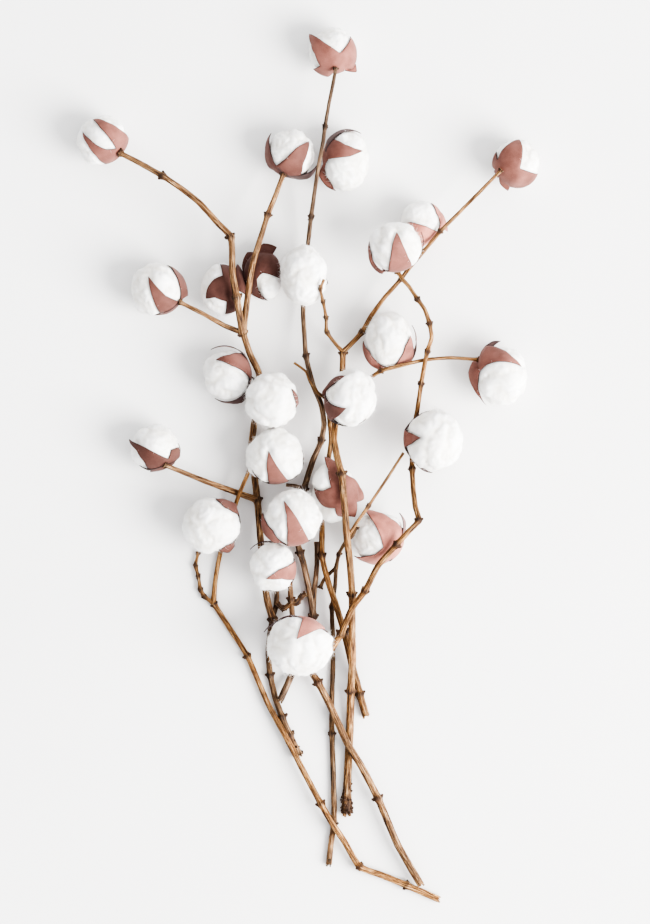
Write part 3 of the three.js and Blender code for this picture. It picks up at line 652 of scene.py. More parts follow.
# %% Table of rims
TIP, CUT = "tip", "cut"
RIMS = {  # name: petals in order, each a list of (column, row, side[, TIP or CUT])
    "01": [
        [(328, 77, 0), (313, 69, 0, TIP), (320, 67, 1, CUT)],
        [CUT, (315, 56, 1), (311, 45, 1), (309, 34, 1, TIP), (325, 45, 1), (340, 55, 1, CUT)],
        [CUT, (346, 48, 1), (350, 36, 1, TIP), (355, 44, 1), (357, 54, 0), (352, 70, 1, CUT)],
        [CUT, (355, 62, 0, TIP), (357, 72, 0)]],
    "02": [
        [(129, 139, 0, CUT), (121, 131, 0), (108, 123.5, 0), (93, 120, 1, TIP), (101, 129, 1),
         (110, 139, 1), (117, 150, 1, CUT)],
        [CUT, (107, 151, 1), (98, 147, 1), (90, 140, 1), (83, 132, 1, TIP), (88, 145, 0),
         (97, 157, 0), (107, 164, 0, CUT)]],
    "03": [
        [(268, 167, 0), (265, 150, 0), (271, 133, 0, TIP), (270, 148, 1), (272, 158, 1),
         (276, 167, 1, CUT)],
        [CUT, (285, 161, 1), (297, 149, 1), (309, 142, 1, TIP), (308, 152, 1), (303, 165, 1),
         (297, 179, 0, CUT)],
        [CUT, (309, 178, 0), (316, 168, 0), (320, 157, 0, TIP)]],
    "04": [
        [(361, 134, 0, TIP), (345, 129.5, 0), (334, 134, 0), (327, 141, 1, CUT)],
        [CUT, (345, 146, 1), (355, 150, 1), (363, 152, 1, TIP), (350, 158, 1), (328, 160, 1, CUT)],
        [CUT, (326, 172, 1), (331, 182, 1), (335, 195, 0, TIP), (326, 188, 0), (319, 176, 0)]],
    "05": [
        [(492, 166, 0), (496, 152, 0, TIP), (497, 161, 1, CUT)],
        [CUT, (500, 153, 1), (508, 145, 1), (519, 140, 1, TIP), (522, 150, 1), (521, 160, 1),
         (519, 170, 1, CUT)],
        [CUT, (528, 173, 1), (538, 174, 1, TIP), (532, 183, 0), (522, 188, 0), (510, 187, 1, CUT)],
        [CUT, (508, 191, 0, TIP), (500, 184, 0)]],
    "06": [
        [(448, 232, 0), (446, 221, 0), (440, 211, 1), (431, 203, 1, TIP), (436, 213, 1),
         (440, 223, 1), (438, 232, 1, CUT)],
        [CUT, (425, 227, 1), (411, 223, 1), (402, 224, 1, TIP), (408, 236, 1), (417, 249, 1)]],
    "07": [
        [(382, 276, 0), (372, 268, 0), (368, 255, 0), (370, 240, 0, TIP), (371, 254, 1),
         (374, 263, 1), (381, 271, 1), (388, 273, 1, CUT)],
        [CUT, (390, 258, 1), (392, 245, 1), (396, 234, 1, TIP), (402, 247, 1), (407, 258, 1),
         (411, 268, 1, CUT)],
        [CUT, (420, 256, 0), (421, 233, 0, TIP)]],
    "08": [
        [(188, 297, 0), (187, 286, 0), (179, 272, 0), (167, 265, 1, TIP), (175, 273, 1),
         (180, 285, 1), (180, 302, 1, CUT)],
        [CUT, (167, 297, 1), (158, 288, 1), (149, 277, 1, TIP), (151, 290, 1), (155, 303, 1),
         (161, 314, 0, CUT)]],
    "09": [
        [(231, 266, 0), (220, 264, 0, TIP), (223, 276, 1, CUT)],
        [CUT, (214, 280, 1), (208, 288, 0), (206, 299, 0, TIP), (215, 298, 1), (227, 302, 1, CUT)],
        [CUT, (225, 314, 0, TIP), (238, 310, 0)],
        [(247, 296, 0, TIP), (247, 283, 0), (243, 272, 0), (237, 263, 0)]],
    "10": [
        [(244, 284, 0), (243, 273, 0), (247, 252, 0, TIP), (257, 253, 1, CUT)],
        [CUT, (263, 241, 0), (277, 247, 0, TIP), (273, 254, 1, CUT)],
        [CUT, (279, 262, 0), (281, 279, 0, TIP), (270, 275, 1), (262, 273, 1), (257, 280, 1, CUT)],
        [CUT, (260, 292, 1), (268, 302, 0, TIP), (256, 297, 0), (247, 290, 0)]],
    "11": [
        [(317, 254, 0, TIP)],
        [(303, 306, 0, TIP)]],
    "12": [
        [(211, 350, 0, TIP), (220, 347, 0), (232, 348, 0), (244, 354, 0, CUT)],
        [CUT, (238, 353, 1), (230, 355, 1), (216, 360, 1, TIP), (232, 366, 1), (243, 371, 1),
         (250, 379, 1, CUT)],
        [CUT, (249, 392, 0), (243, 402, 0), (230, 403, 0), (215, 398, 0, TIP)]],
    "13": [
        [(299, 404, 0), (298, 397, 0), (292, 389, 1, TIP), (294, 396, 1), (296, 403, 1)],
        [(272, 429, 0, TIP)],
        [(251, 376, 0, TIP)]],
    "14": [
        [(252, 470, 0, TIP), (270, 484, 1, CUT)],
        [CUT, (268, 475, 1), (267, 465, 1), (269, 451, 1, TIP), (276, 464, 1), (283, 474, 1),
         (289, 481, 1, CUT)],
        [CUT, (301, 472, 0), (304, 460, 0), (297, 442, 0, TIP)]],
    "15": [
        [(440, 410, 0, TIP), (429, 411, 0), (418, 415, 0), (410, 422, 0), (404, 430, 1, CUT)],
        [CUT, (412, 434, 1), (420, 438, 1, TIP), (411, 444, 1), (404, 448, 1, CUT)],
        [CUT, (409, 456, 0), (416, 465, 0), (423, 471, 0), (432, 473, 0, TIP)]],
    "16": [
        [(321, 394, 0), (326, 387, 0), (334, 378, 0), (349, 377, 1, TIP), (340, 381, 1),
         (333, 385, 1), (325, 395, 1, CUT)],
        [CUT, (331, 405, 1), (346, 409, 1, TIP), (339, 416, 1), (330, 421, 1, CUT)],
        [CUT, (352, 426, 1), (366, 419, 0, TIP)]],
    "17": [
        [(383, 371, 0), (371, 366, 0), (364, 355, 0), (363, 341, 0, TIP), (369, 352, 1),
         (376, 361, 1), (390, 369, 1, CUT)],
        [CUT, (399, 360, 1), (405, 347, 1), (410, 336, 1, TIP), (413, 346, 0), (411, 362, 0, CUT)],
        [CUT, (416, 352, 0), (416, 340, 0), (412, 325, 0, TIP)]],
    "18": [
        [(501, 341, 0, TIP), (493, 341, 0), (485, 346, 0, CUT)],
        [CUT, (500, 349, 1), (511, 357, 1), (521, 367, 1, TIP), (510, 363, 1), (496, 362, 1),
         (486, 365, 1), (479, 372, 1, CUT)],
        [CUT, (478, 380, 1), (480, 394, 1), (487, 406, 0, TIP), (480, 398, 0), (473, 388, 0),
         (468, 373, 0), (472, 362, 0, CUT)]],
    "19": [
        [(140, 465, 0, TIP), (149, 470, 1, CUT)],
        [CUT, (145, 462, 1), (137, 450, 1), (129, 439, 1, TIP), (145, 447, 1), (158, 454, 1),
         (169, 459, 1, CUT)],
        [CUT, (172, 450, 1), (179, 447, 0, TIP), (180, 457, 0)],
        [(171, 437, -1, TIP)]],
    "20": [
        [(237, 504, 0), (228, 500, 0), (216, 499, 1, TIP), (225, 507, 1), (234, 512, 1),
         (240, 516, 0, CUT)],
        [(240, 530, 0, CUT), (236, 540, 1), (227, 545, 1), (219, 550, 1, TIP), (229, 553, 0),
         (235, 546, 0)]],
    "21": [
        [(275, 543, 0), (265, 535, 0), (261, 522, 0), (263, 512, 0, TIP), (266, 521, 1),
         (273, 530, 1), (280, 540, 1), (288, 546, 1, CUT)],
        [CUT, (288, 530, 1), (287, 515, 1), (284, 500, 1, TIP), (297, 517, 1), (305, 532, 1),
         (309, 541, 1, CUT)]],
    "22": [
        [(250, 549, 0, TIP)],
        [(295, 560, 1, CUT), (279, 569, 1), (266, 578, 1, TIP), (282, 578, 1), (295, 578, 1, CUT)]],
    "23": [
        [(335, 461, 0), (323, 453, 0, TIP), (328, 470, 1), (331, 487, 1, CUT)],
        [CUT, (322, 491, 1), (314, 488, 0, TIP), (318, 500, 0), (323, 506, 0), (335, 508, 1, CUT)],
        [CUT, (337, 516, 0), (343, 517, 0, TIP), (346, 506, 1, CUT)],
        [CUT, (348, 516, 0), (355, 517, 0, TIP), (357, 502, 1, CUT)],
        [CUT, (364, 499, 0, TIP), (360, 487, 0), (355, 479, 0), (349, 476, 1)]],
    "24": [
        [(399, 513, 0, TIP), (405, 521, 0), (404, 534, 0, CUT)],
        [CUT, (401, 527, 0), (390, 518, 0), (378, 512, 1), (364, 510, 1, TIP), (374, 523, 1),
         (380, 535, 1), (383, 547, 1, CUT)],
        [CUT, (375, 554, 1), (366, 556, 1), (354, 556, 0, TIP), (365, 562, 0), (378, 565, 0)]],
    "25": [
        [(264, 631, 0, TIP), (278, 619, 0), (290, 614, 0), (303, 617, 1, CUT)],
        [CUT, (300, 626, 1), (297, 637, 1, TIP), (308, 632, 1), (320, 627, 1, CUT)]],
}
for rim in RIMS.values():
    for before, petal in zip(rim, rim[1:]):
        if petal[0] == CUT:
            petal[0] = before[-1]
print(sum(len(rim) for rim in RIMS.values()), "listed petals on", len(RIMS), "rims")

# %% [markdown]
# ## From the grid to the ball of a boll
# A husk lies on a ball that is slightly squashed along the boll's axis. A place on the
# grid is a plumb line from above, and it meets that ball twice, on the near side and on
# the far side. The rim needs each place as two angles: round the axis, and out from the
# middle of the husk's back. How far the card stands off the ball comes along too.

# %% Angles on the ball
HUSK_OVER_FRAME = 1.02  # the card lies a little outside the frame's husk
LEAST_LIFT, MOST_LIFT = 0.99, 1.42


def ball_matrix(name):
    """Turns an offset from a boll's centre into a place on a ball of radius 1."""
    _, axes = axes_of(name)
    radius = BOLLS[name][3] / 2 * HUSK_OVER_FRAME * MM
    return axes / np.array([[radius], [radius], [radius * SQUASH]])


def on_ball(name, column, row, side):
    """The place's direction on the unit ball, and how far off the ball it stands."""
    centre, _ = axes_of(name)
    matrix = ball_matrix(name)
    flat = matrix[:, :2] @ (place(column, row) - centre)[:2]
    rise = matrix[:, 2]
    a, b, c = rise @ rise, 2 * rise @ flat, flat @ flat - 1
    spare = b * b - 4 * a * c
    reach = (side or 1) * math.sqrt(spare) if spare > 0 else 0.0
    spot = flat + rise * (-b + reach) / (2 * a)
    off = float(np.linalg.norm(spot))
    lift = 1.0 if reach else min(max(off, LEAST_LIFT), MOST_LIFT)
    return spot / off, lift


def angles(spot):
    """Degrees round the axis, and degrees from the middle of the husk's back."""
    around = math.degrees(math.atan2(spot[1], spot[0])) % 360
    return around, math.degrees(math.acos(max(-1.0, min(1.0, -spot[2]))))


def direction(around, reach):
    """The place on the unit ball at those two angles."""
    around, reach = math.radians(around), math.radians(reach)
    out = math.sin(reach)
    return np.array([out * math.cos(around), out * math.sin(around), -math.cos(reach)])


# %% [markdown]
# ## Closing the rim
# The listed petals run one way round the axis. Between two that don't share a cut, and
# on the far side, regular petals fill the ring up to five where there is room, with a
# cut between neighbours. A hidden petal is kept as short as it must be to stay hidden.

# %% Whole rings of petals
PETALS = 5
REACH, NOTCH = 112, 31  # degrees from the husk's middle to a hidden tip and to a cut
BESIDE = 9  # degrees round the axis from a listed edge to its hidden cut
HUSK_SEED = 21


def hidden_tip(name, around, chance):
    """A petal tip that stays on the far side of its boll."""
    rise = ball_matrix(name)[:, 2]
    reach = REACH + chance.uniform(-7, 5)
    while reach > 52 and direction(around, reach) @ rise > -0.2 * np.linalg.norm(rise):
        reach -= 3
    return direction(around, reach), 1.0


def hidden_cut(around, chance):
    return direction(around, NOTCH + chance.uniform(-4, 6)), 1.0


def listed_petals(name):
    """The listed petals as (left edge, tip, right edge), all running one way round."""
    petals = []
    for row in RIMS[name]:
        corners = [(on_ball(name, *spot[:3]), spot[3:]) for spot in row]
        tip = next(k for k, corner in enumerate(corners) if corner[1] == (TIP,))
        spots = [corner[0] for corner in corners]
        cuts = corners[0][1] == (CUT,), corners[-1][1] == (CUT,)
        petals.append([spots[:tip], spots[tip], spots[tip + 1:], *cuts])
    tips = [angles(petal[1][0])[0] for petal in petals]
    steps = [(after - before + 180) % 360 - 180 for before, after in zip(tips, tips[1:])]
    if not steps:
        left, _, right = petals[0][:3]
        steps = [(angles(right[-1][0])[0] - angles(left[0][0])[0] + 180) % 360 - 180]
    if sum(steps) < 0:
        petals = [[right[::-1], tip, left[::-1], right_cut, left_cut]
                  for left, tip, right, left_cut, right_cut in reversed(petals)]
    return petals


def ring_of_petals(name, chance):
    """A husk's petals as (left edge with its cut, tip, right edge with its cut)."""
    petals = listed_petals(name)
    ends = [angles((petal[2] or [petal[1]])[-1][0])[0] for petal in petals]
    starts = [angles((petal[0] or [petal[1]])[0][0])[0] for petal in petals]
    gaps = [(starts[(k + 1) % len(petals)] - ends[k]) % 360 for k in range(len(petals))]
    shared = [petals[k][4] and petals[(k + 1) % len(petals)][3] for k in range(len(petals))]
    gaps = [0 if shared[k] and gap < 20 or gap > 320 else gap for k, gap in enumerate(gaps)]
    extra = [0] * len(petals)
    for _ in range(PETALS - len(petals)):
        widest = max(range(len(petals)), key=lambda k: gaps[k] / (extra[k] + 0.7))
        extra[widest] += gaps[widest] / (extra[widest] + 1) > 26
    ring = []
    for k, (left, tip, right, *_) in enumerate(petals):
        ring.append([left, tip, right])
        after = petals[(k + 1) % len(petals)]
        if gaps[k] == 0 and shared[k]:
            after[0] = [right[-1]] + after[0][1:]
            continue
        if gaps[k] == 0 or not extra[k]:
            cut = right[-1] if petals[k][4] else after[0][0] if after[3] else hidden_cut(
                ends[k] + gaps[k] / 2, chance)
            if not petals[k][4]:
                ring[-1][2] = right + [cut]
            if not (after[3] and cut is after[0][0]):
                after[0] = [cut] + after[0]
            continue
        beside = min(BESIDE, gaps[k] / 4)
        first = right[-1] if petals[k][4] else hidden_cut(ends[k] + beside, chance)
        last = after[0][0] if after[3] else hidden_cut(ends[k] + gaps[k] - beside, chance)
        if not petals[k][4]:
            ring[-1][2] = right + [first]
        if not after[3]:
            after[0] = [last] + after[0]
        width = (gaps[k] - 2 * beside) / extra[k]
        cut = first
        for number in range(extra[k]):
            start = ends[k] + beside + width * number
            end = last if number == extra[k] - 1 else hidden_cut(start + width, chance)
            ring.append([[cut], hidden_tip(name, start + width / 2, chance), [end]])
            cut = end
    ring[0][0] = petals[0][0]
    return ring


# %% [markdown]
# ## The husks
# All the petals grow out of one cup, so a husk is one sheet. Each petal is a set of
# rows that run from its left edge to its right edge and get shorter towards the tip, as
# if it were cut with scissors. Below them a fan closes the cup to the middle of the
# back. Card bends one way at a time, so a petal is flattened across its width. Solidify
# gives the card its thickness, with its own finish outside, inside and on the cut edge.

# %% Rows between two edges
def angle_between(start, end):
    return math.acos(max(-1.0, min(1.0, float(start @ end))))


def arc(start, end, share):
    """A place on the shortest line over the ball from start to end."""
    between = angle_between(start, end)
    if between < 1e-4:
        return start
    near, far = math.sin((1 - share) * between), math.sin(share * between)
    return (start * near + end * far) / math.sin(between)


def walk(edge, shares):
    """Places and lifts at even shares of the way along an edge."""
    steps = [max(1e-5, angle_between(a[0], b[0])) for a, b in zip(edge, edge[1:])]
    reached = np.concatenate([[0], np.cumsum(steps)]) / sum(steps)
    places = []
    for share in shares:
        k = min(int(np.searchsorted(reached, share, side="right")) - 1, len(steps) - 1)
        part = (share - reached[k]) / (reached[k + 1] - reached[k])
        lift = edge[k][1] + (edge[k + 1][1] - edge[k][1]) * part
        places.append((arc(edge[k][0], edge[k + 1][0], part), lift))
    return places


def smooth_share(value, low, high):
    share = np.clip((value - low) / (high - low), 0, 1)
    return share * share * (3 - 2 * share)


# %% Husk mesh
HUSK_CARD, HUSK_INSIDE_PAINTED_SHADE, CARD_EDGE_PAINTED_SHADE = (
    bpy.data.materials.new(title) for title in ("petal_card", "petal_inside", "petal_edge")
)
CARD_THICKNESS = 0.55 * MM
PETAL_ROWS, PETAL_COLUMNS, CUP_RINGS = 14, 10, 4
FLATNESS = 0.5
WIDEST_HALF = 0.75  # half of the widest angle that a petal may be flattened over
FAR_IN = 9.0  # an edge distance that is well inside the card
WELD = 0.02 * MM
TABLE_GAP = 0.3 * MM
DYE_AND_PAINTED_SHADING = {  # how pale each boll's card is drawn, where it isn't the usual 1: partly dye, partly painted light and shade
    "01": 1.25, "02": 1.1, "03": 0.76, "05": 1.1, "06": 2.1, "07": 1.15, "08": 0.72, "09": 0.52,
    "10": 0.5, "12": 0.95, "14": 0.95, "15": 1.2, "16": 0.62, "17": 1.3, "18": 1.1, "19": 0.55,
    "20": 0.75, "21": 1.15, "22": 1.4, "23": 1.0, "24": 1.95, "25": 1.8,
}


def husk_sheet(name, ring):
    """Points, faces and edge distances of one husk, in metres."""
    centre, _ = axes_of(name)
    radius = BOLLS[name][3] / 2
    corners, from_edge, faces, loop = [], [], [], []

    def corner(spot, edge):
        corners.append(spot)
        from_edge.append(edge)
        return len(corners) - 1

    shares = np.linspace(0, 1, PETAL_ROWS + 1)
    for left, tip, right in ring:
        lefts, rights = walk(left + [tip], shares), walk(right[::-1] + [tip], shares)
        rows = []
        for row, ((start, start_lift), (end, end_lift)) in enumerate(zip(lefts[:-1], rights[:-1])):
            between = angle_between(start, end)
            half = min(between / 2, WIDEST_HALF)
            bent = FLATNESS * smooth_share(shares[row], 0.0, 0.35)
            line = []
            for column in range(PETAL_COLUMNS + 1):
                part = column / PETAL_COLUMNS
                across = half * (2 * part - 1)
                flat = 1 - bent * (1 - math.cos(half) / math.cos(across))
                lift = start_lift + (end_lift - start_lift) * part
                near = between * min(part, 1 - part) * radius
                line.append(corner(arc(start, end, part) * flat * lift, near if row else near + 2))
            rows.append(line)
        top = corner(tip[0] * tip[1], 0.0)
        for low, high in zip(rows, rows[1:]):
            faces.extend((low[k], low[k + 1], high[k + 1], high[k]) for k in range(PETAL_COLUMNS))
        faces.extend((rows[-1][k], rows[-1][k + 1], top) for k in range(PETAL_COLUMNS))
        loop.extend(rows[0][:-1])
    back = direction(0, 0)
    inner = loop
    for step in range(CUP_RINGS - 1, 0, -1):
        share = step / CUP_RINGS
        outer = [corners[k] / np.linalg.norm(corners[k]) for k in loop]
        turn = [corner(arc(back, spot, share), FAR_IN) for spot in outer]
        for k in range(len(loop)):
            after = (k + 1) % len(loop)
            faces.append((turn[k], turn[after], inner[after], inner[k]))
        inner = turn
    middle = corner(back, FAR_IN)
    faces.extend((middle, inner[(k + 1) % len(inner)], inner[k]) for k in range(len(inner)))
    points = centre + np.array(corners) @ np.linalg.inv(ball_matrix(name)).T
    points[:, 2] = np.maximum(points[:, 2], TABLE_GAP)
    return points, faces, from_edge


def husk_piece(name, points, faces, from_edge):
    """The sheet as a piece with welded cuts, outward faces and the card's thickness."""
    mesh = bpy.data.meshes.new("petals_" + name)
    mesh.from_pydata(points, [], faces)
    keep_values(mesh, "edge_distance", from_edge)
    # each boll's paleness: partly dye, partly painted light and shade
    keep_values(mesh, "dye", [DYE_AND_PAINTED_SHADING.get(name, 1.0)] * len(points))
    shape = bmesh.new()
    shape.from_mesh(mesh)
    bmesh.ops.remove_doubles(shape, verts=shape.verts, dist=WELD)
    bmesh.ops.recalc_face_normals(shape, faces=shape.faces)
    centre = Vector(axes_of(name)[0])
    outward = sum(face.normal.dot(face.calc_center_median() - centre) for face in shape.faces)
    if outward < 0:
        bmesh.ops.reverse_faces(shape, faces=shape.faces)
    shape.to_mesh(mesh)
    shape.free()
    mesh.shade_smooth()
    for material in (HUSK_CARD, HUSK_INSIDE_PAINTED_SHADE, CARD_EDGE_PAINTED_SHADE):
        mesh.materials.append(material)
    piece = add_piece("petals_" + name, mesh)
    card = piece.modifiers.new("card", "SOLIDIFY")
    card.thickness, card.offset = CARD_THICKNESS, -1
    # the inside and the cut edge take the darker finishes of painted shade
    card.material_offset, card.material_offset_rim = 1, 2
    return piece


husks, sheets = {}, {}
for name in BOLLS:
    ring = ring_of_petals(name, np.random.default_rng(HUSK_SEED + int(name)))
    points, faces, from_edge = husk_sheet(name, ring)
    sheets[name] = BVHTree.FromPolygons([tuple(point) for point in points], faces)
    husks[name] = husk_piece(name, points, faces, from_edge)
    print(husks[name].name, len(ring), "petals,", len(faces), "faces")

# %% [markdown]
# ## The tufts of cotton wool
# A tuft is a soft ball pulled from a roll of cotton wool. It isn't round: it is drawn
# out a little where nothing holds it and pressed in under the petals. The mesh starts
# as a cube whose points are pushed out to a ball, because its faces stay even and it
# has no poles. Then every point is moved along its own line from the middle: out to the
# tuft's own oval, in where card covers it, and in and out again by lumps of three sizes.

# %% Sizes of the tufts
TUFTS = {  # name: (middle column, middle row, half the columns, half the rows)
    "02": (102.5, 141, 24.5, 24.5), "04": (346, 160.5, 23.5, 31.5), "08": (157.5, 290, 26.5, 27),
    "09": (222, 289.5, 22, 26), "10": (264, 276, 19, 24), "11": (303.5, 276.5, 23, 30),
    "12": (228, 375, 24, 24.5), "13": (272.5, 400.5, 26.5, 27.5), "14": (275.5, 457.5, 29, 28.5),
    "15": (434, 440, 28.5, 30.5), "16": (351, 398, 25, 29), "17": (389, 339.5, 23.5, 28),
    "18": (502, 376, 25.5, 29), "20": (211.5, 525, 28.5, 27), "21": (293.5, 518, 28, 28.5),
    "07": (395, 248, 26, 24.5), "22": (273.5, 566.5, 22.5, 24.5), "23": (333, 492, 22, 30),
    "25": (300, 644.5, 33, 30.5),
}
DRAWN_OUT = 1.1 * MM  # how far a tuft sits out of its husk along the boll's axis
FLOOR_GAP = 0.6 * MM


def tuft_oval(name):
    """Middle and half sizes of a tuft, in metres."""
    centre, axes = axes_of(name)
    radius = BOLLS[name][3] / 2 * MM
    middle = centre + axes[2] * DRAWN_OUT
    half = np.array([radius, radius, radius]) * 0.965
    if name in TUFTS:
        column, row, columns, rows = TUFTS[name]
        middle[:2] = place(column, row)[:2]
        half = np.array([columns * GRID, rows * GRID, (columns + rows) / 2 * GRID * 0.95]) * MM
    half[2] = min(half[2], middle[2] - FLOOR_GAP)
    return middle, half


# %% Cube drawn out to a ball
TUFT_GRID = 30  # faces along one edge of the cube


def cube_ball(count):
    """Directions and faces of a cube whose points are pushed out to a ball."""
    steps = np.tan(np.linspace(-1, 1, count + 1) * math.pi / 4)
    index, spots, faces = {}, [], []

    def point(spot):
        key = tuple(np.round(spot, 6))
        if key not in index:
            index[key] = len(spots)
            spots.append(spot)
        return index[key]

    for axis in range(3):
        for side in (-1, 1):
            grid = [[0] * (count + 1) for _ in range(count + 1)]
            for i, u in enumerate(steps):
                for j, v in enumerate(steps):
                    spot = [0.0, 0.0, 0.0]
                    spot[axis], spot[(axis + 1) % 3], spot[(axis + 2) % 3] = float(side), u, v
                    grid[i][j] = point(spot)
            for i in range(count):
                for j in range(count):
                    face = (grid[i][j], grid[i + 1][j], grid[i + 1][j + 1], grid[i][j + 1])
                    faces.append(face if side > 0 else face[::-1])
    spots = np.array(spots)
    return spots / np.linalg.norm(spots, axis=1)[:, None], faces


BALL_SPOTS, BALL_FACES = cube_ball(TUFT_GRID)
print("a tuft has", len(BALL_SPOTS), "points and", len(BALL_FACES), "faces")

# %% Tuft mesh
LUMPS = ((17 * MM, 1.65 * MM), (6.5 * MM, 0.75 * MM), (2.6 * MM, 0.3 * MM))  # size, height
UNDER_CARD = 1.1 * MM
SWELL_FROM, SWELL_TO = 0.4 * MM, 4.2 * MM  # distances from a petal over which it swells


def lumpiness(spots, seed):
    """Puffs with creases between them, at three sizes."""
    height = np.zeros(len(spots))
    for number, (size, rise) in enumerate(LUMPS):
        shift = Vector((seed * 1.7, number * 5.1, seed * 0.6))
        puff = [abs(noise.noise(Vector(spot) / size + shift)) for spot in spots]
        height += (np.array(puff) * 2 - 0.55) * rise
    return height


def card_over(name, centre, spots, reach):
    """How much card covers each direction, from 0 to 1, and how far away it is."""
    covered, to_card = np.zeros(len(spots)), np.full(len(spots), 1.0)
    origin = Vector(centre)
    for k, spot in enumerate(spots):
        hit, _, _, distance = sheets[name].ray_cast(origin, Vector(spot))
        if hit is not None:
            covered[k], to_card[k] = 1.0, distance
            continue
        near, _, _, gap = sheets[name].find_nearest(origin + Vector(spot * reach[k]))
        covered[k] = 1 - smooth_share(gap, SWELL_FROM, SWELL_TO)
        to_card[k] = (near - origin).length
    return covered, to_card


def tuft_mesh(name):
    centre, _ = axes_of(name)
    middle, half = tuft_oval(name)
    start, along = (centre - middle) / half, BALL_SPOTS / half
    a, b, c = (along**2).sum(axis=1), 2 * along @ start, start @ start - 1
    free = (-b + np.sqrt(b * b - 4 * a * c)) / (2 * a)
    on_ball_reach = 1 / np.linalg.norm(BALL_SPOTS @ ball_matrix(name).T, axis=1)
    covered, to_card = card_over(name, centre, BALL_SPOTS, on_ball_reach)
    lumps = lumpiness(BALL_SPOTS * free[:, None], int(name))
    pressed = np.minimum(free, to_card - UNDER_CARD)
    out = free * (1 - covered) + pressed * covered + lumps * (1 - 0.9 * covered)
    out = np.where(covered > 0.9, np.minimum(out, to_card - UNDER_CARD * 0.85), out)
    points = centre + BALL_SPOTS * out[:, None]
    points[:, 2] = np.maximum(points[:, 2], FLOOR_GAP)
    mesh = bpy.data.meshes.new("tuft_" + name)
    mesh.from_pydata(points, [], BALL_FACES)
    mesh.shade_smooth()
    # how deep each point lies in a crease; the cotton finish paints shade there
    depth = np.clip(-lumps / (1.1 * MM), 0, 1)
    keep_values(mesh, "crease", depth)
    keep_values(mesh, "free", 1 - covered)
    return mesh


# %% [markdown]
# ## Loose fibres
# What makes cotton look like cotton is the haze of single fibres round it. They follow
# the surface everywhere, so Geometry Nodes scatter them: points on the tuft where no
# card covers it, and on each point one short curved fibre. There are thousands, so one
# fibre is only eighteen triangles: a three-sided thread that is pointed at both ends.

# %% Fibre scatter tree
FIBRE_BEND = ((0.0, 0.0, -0.06), (0.30, 0.05, 0.02), (0.62, -0.04, 0.09), (1.0, 0.03, 0.30))


def fibre_object():
    """One fibre, one unit long, that lies down at its root and lifts at its tip."""
    points, faces = [FIBRE_BEND[0]], []
    for x, y, z in FIBRE_BEND[1:3]:
        for corner in range(3):
            turn = 2 * math.pi * corner / 3
            points.append((x, y + 0.011 * math.cos(turn), z + 0.011 * math.sin(turn)))
    points.append(FIBRE_BEND[3])
    for corner in range(3):
        after = (corner + 1) % 3
        faces.append((0, 1 + after, 1 + corner))
        faces.append((1 + corner, 1 + after, 4 + after, 4 + corner))
        faces.append((4 + corner, 4 + after, 7))
    mesh = bpy.data.meshes.new("fibre")
    mesh.from_pydata(points, [], faces)
    mesh.shade_smooth()
    return bpy.data.objects.new("fibre", mesh)


def wool_tree():
    tree, given, result = new_group(
        "wool fibres", "GeometryNodeTree",
        {
            "Tuft": ("NodeSocketGeometry", None),
            "Fibre": ("NodeSocketObject", None),
            "Density": ("NodeSocketFloat", 220000.0),
            "Shortest": ("NodeSocketFloat", 0.0030),
            "Longest": ("NodeSocketFloat", 0.0070),
            "Lowest": ("NodeSocketFloat", 0.0003),
            "Seed": ("NodeSocketInt", 0),
            "Wool": ("NodeSocketMaterial", None),
        },
        {"Tuft": "NodeSocketGeometry"},
    )
    bare = math_node(tree, "GREATER_THAN", named(tree, "free"), 0.45)
    spots = node(tree, "GeometryNodeDistributePointsOnFaces", {
        "Mesh": given.outputs["Tuft"], "Selection": bare,
        "Density": given.outputs["Density"], "Seed": given.outputs["Seed"],
    })
    spin = node(tree, "FunctionNodeRandomValue", {
        "Min": (-0.25, -0.35, 0.0), "Max": (0.25, 0.15, 2 * math.pi), "Seed": given.outputs["Seed"],
    }, data_type="FLOAT_VECTOR")
    turn = node(tree, "FunctionNodeEulerToRotation", {0: spin.outputs[0]})
    lying = node(tree, "FunctionNodeRotateRotation", {
        "Rotation": spots.outputs["Rotation"], "Rotate By": turn.outputs[0],
    }, rotation_space="LOCAL")
    size = node(tree, "FunctionNodeRandomValue", {
        "Min": given.outputs["Shortest"], "Max": given.outputs["Longest"],
        "Seed": given.outputs["Seed"],
    }, data_type="FLOAT")
    one = node(tree, "GeometryNodeObjectInfo", {"Object": given.outputs["Fibre"]})
    fibres = node(tree, "GeometryNodeInstanceOnPoints", {
        "Points": spots.outputs["Points"], "Instance": one.outputs["Geometry"],
        "Rotation": lying.outputs[0], "Scale": size.outputs[1],
    })
    grown = kept_above(tree, realized(tree, fibres.outputs[0]), given.outputs["Lowest"])
    whole = node(tree, "GeometryNodeJoinGeometry")
    for part in (grown, given.outputs["Tuft"]):
        tree.links.new(part, whole.inputs[0])
    finished = node(tree, "GeometryNodeSetMaterial", {
        "Geometry": realized(tree, whole.outputs[0]), "Material": given.outputs["Wool"],
    })
    tree.links.new(finished.outputs[0], result.inputs["Tuft"])
    return tree


WOOL_FIBRES = wool_tree()
print("wool fibres:", len(WOOL_FIBRES.nodes), "nodes")

# %% Make the tufts
COTTON_WOOL = bpy.data.materials.new("wool")
fibre = fibre_object()
tufts = {}
for name in BOLLS:
    piece = add_piece("tuft_" + name, tuft_mesh(name))
    bake_nodes(piece, WOOL_FIBRES, {"Fibre": fibre, "Seed": int(name), "Wool": COTTON_WOOL})
    tufts[name] = piece
print("tufts have", sum(triangles(piece) for piece in tufts.values()), "triangles")
bpy.data.objects.remove(fibre)

# %% [markdown]
# ## Finishes: bark
# Bark is golden brown with pale and dark streaks along the twig, small dark specks,
# and darker rings at the leaf nodes. The streaks have to follow the twig round its
# bends, so the pattern reads the attribute that the sweep left on every point: the
# place on the round section and the length along the twig. The streaks are a shader
# group, because the bark, the buds and the cut wood use them with their own values.

# %% Bark grain group
SPECK_WIDTH = 3.2


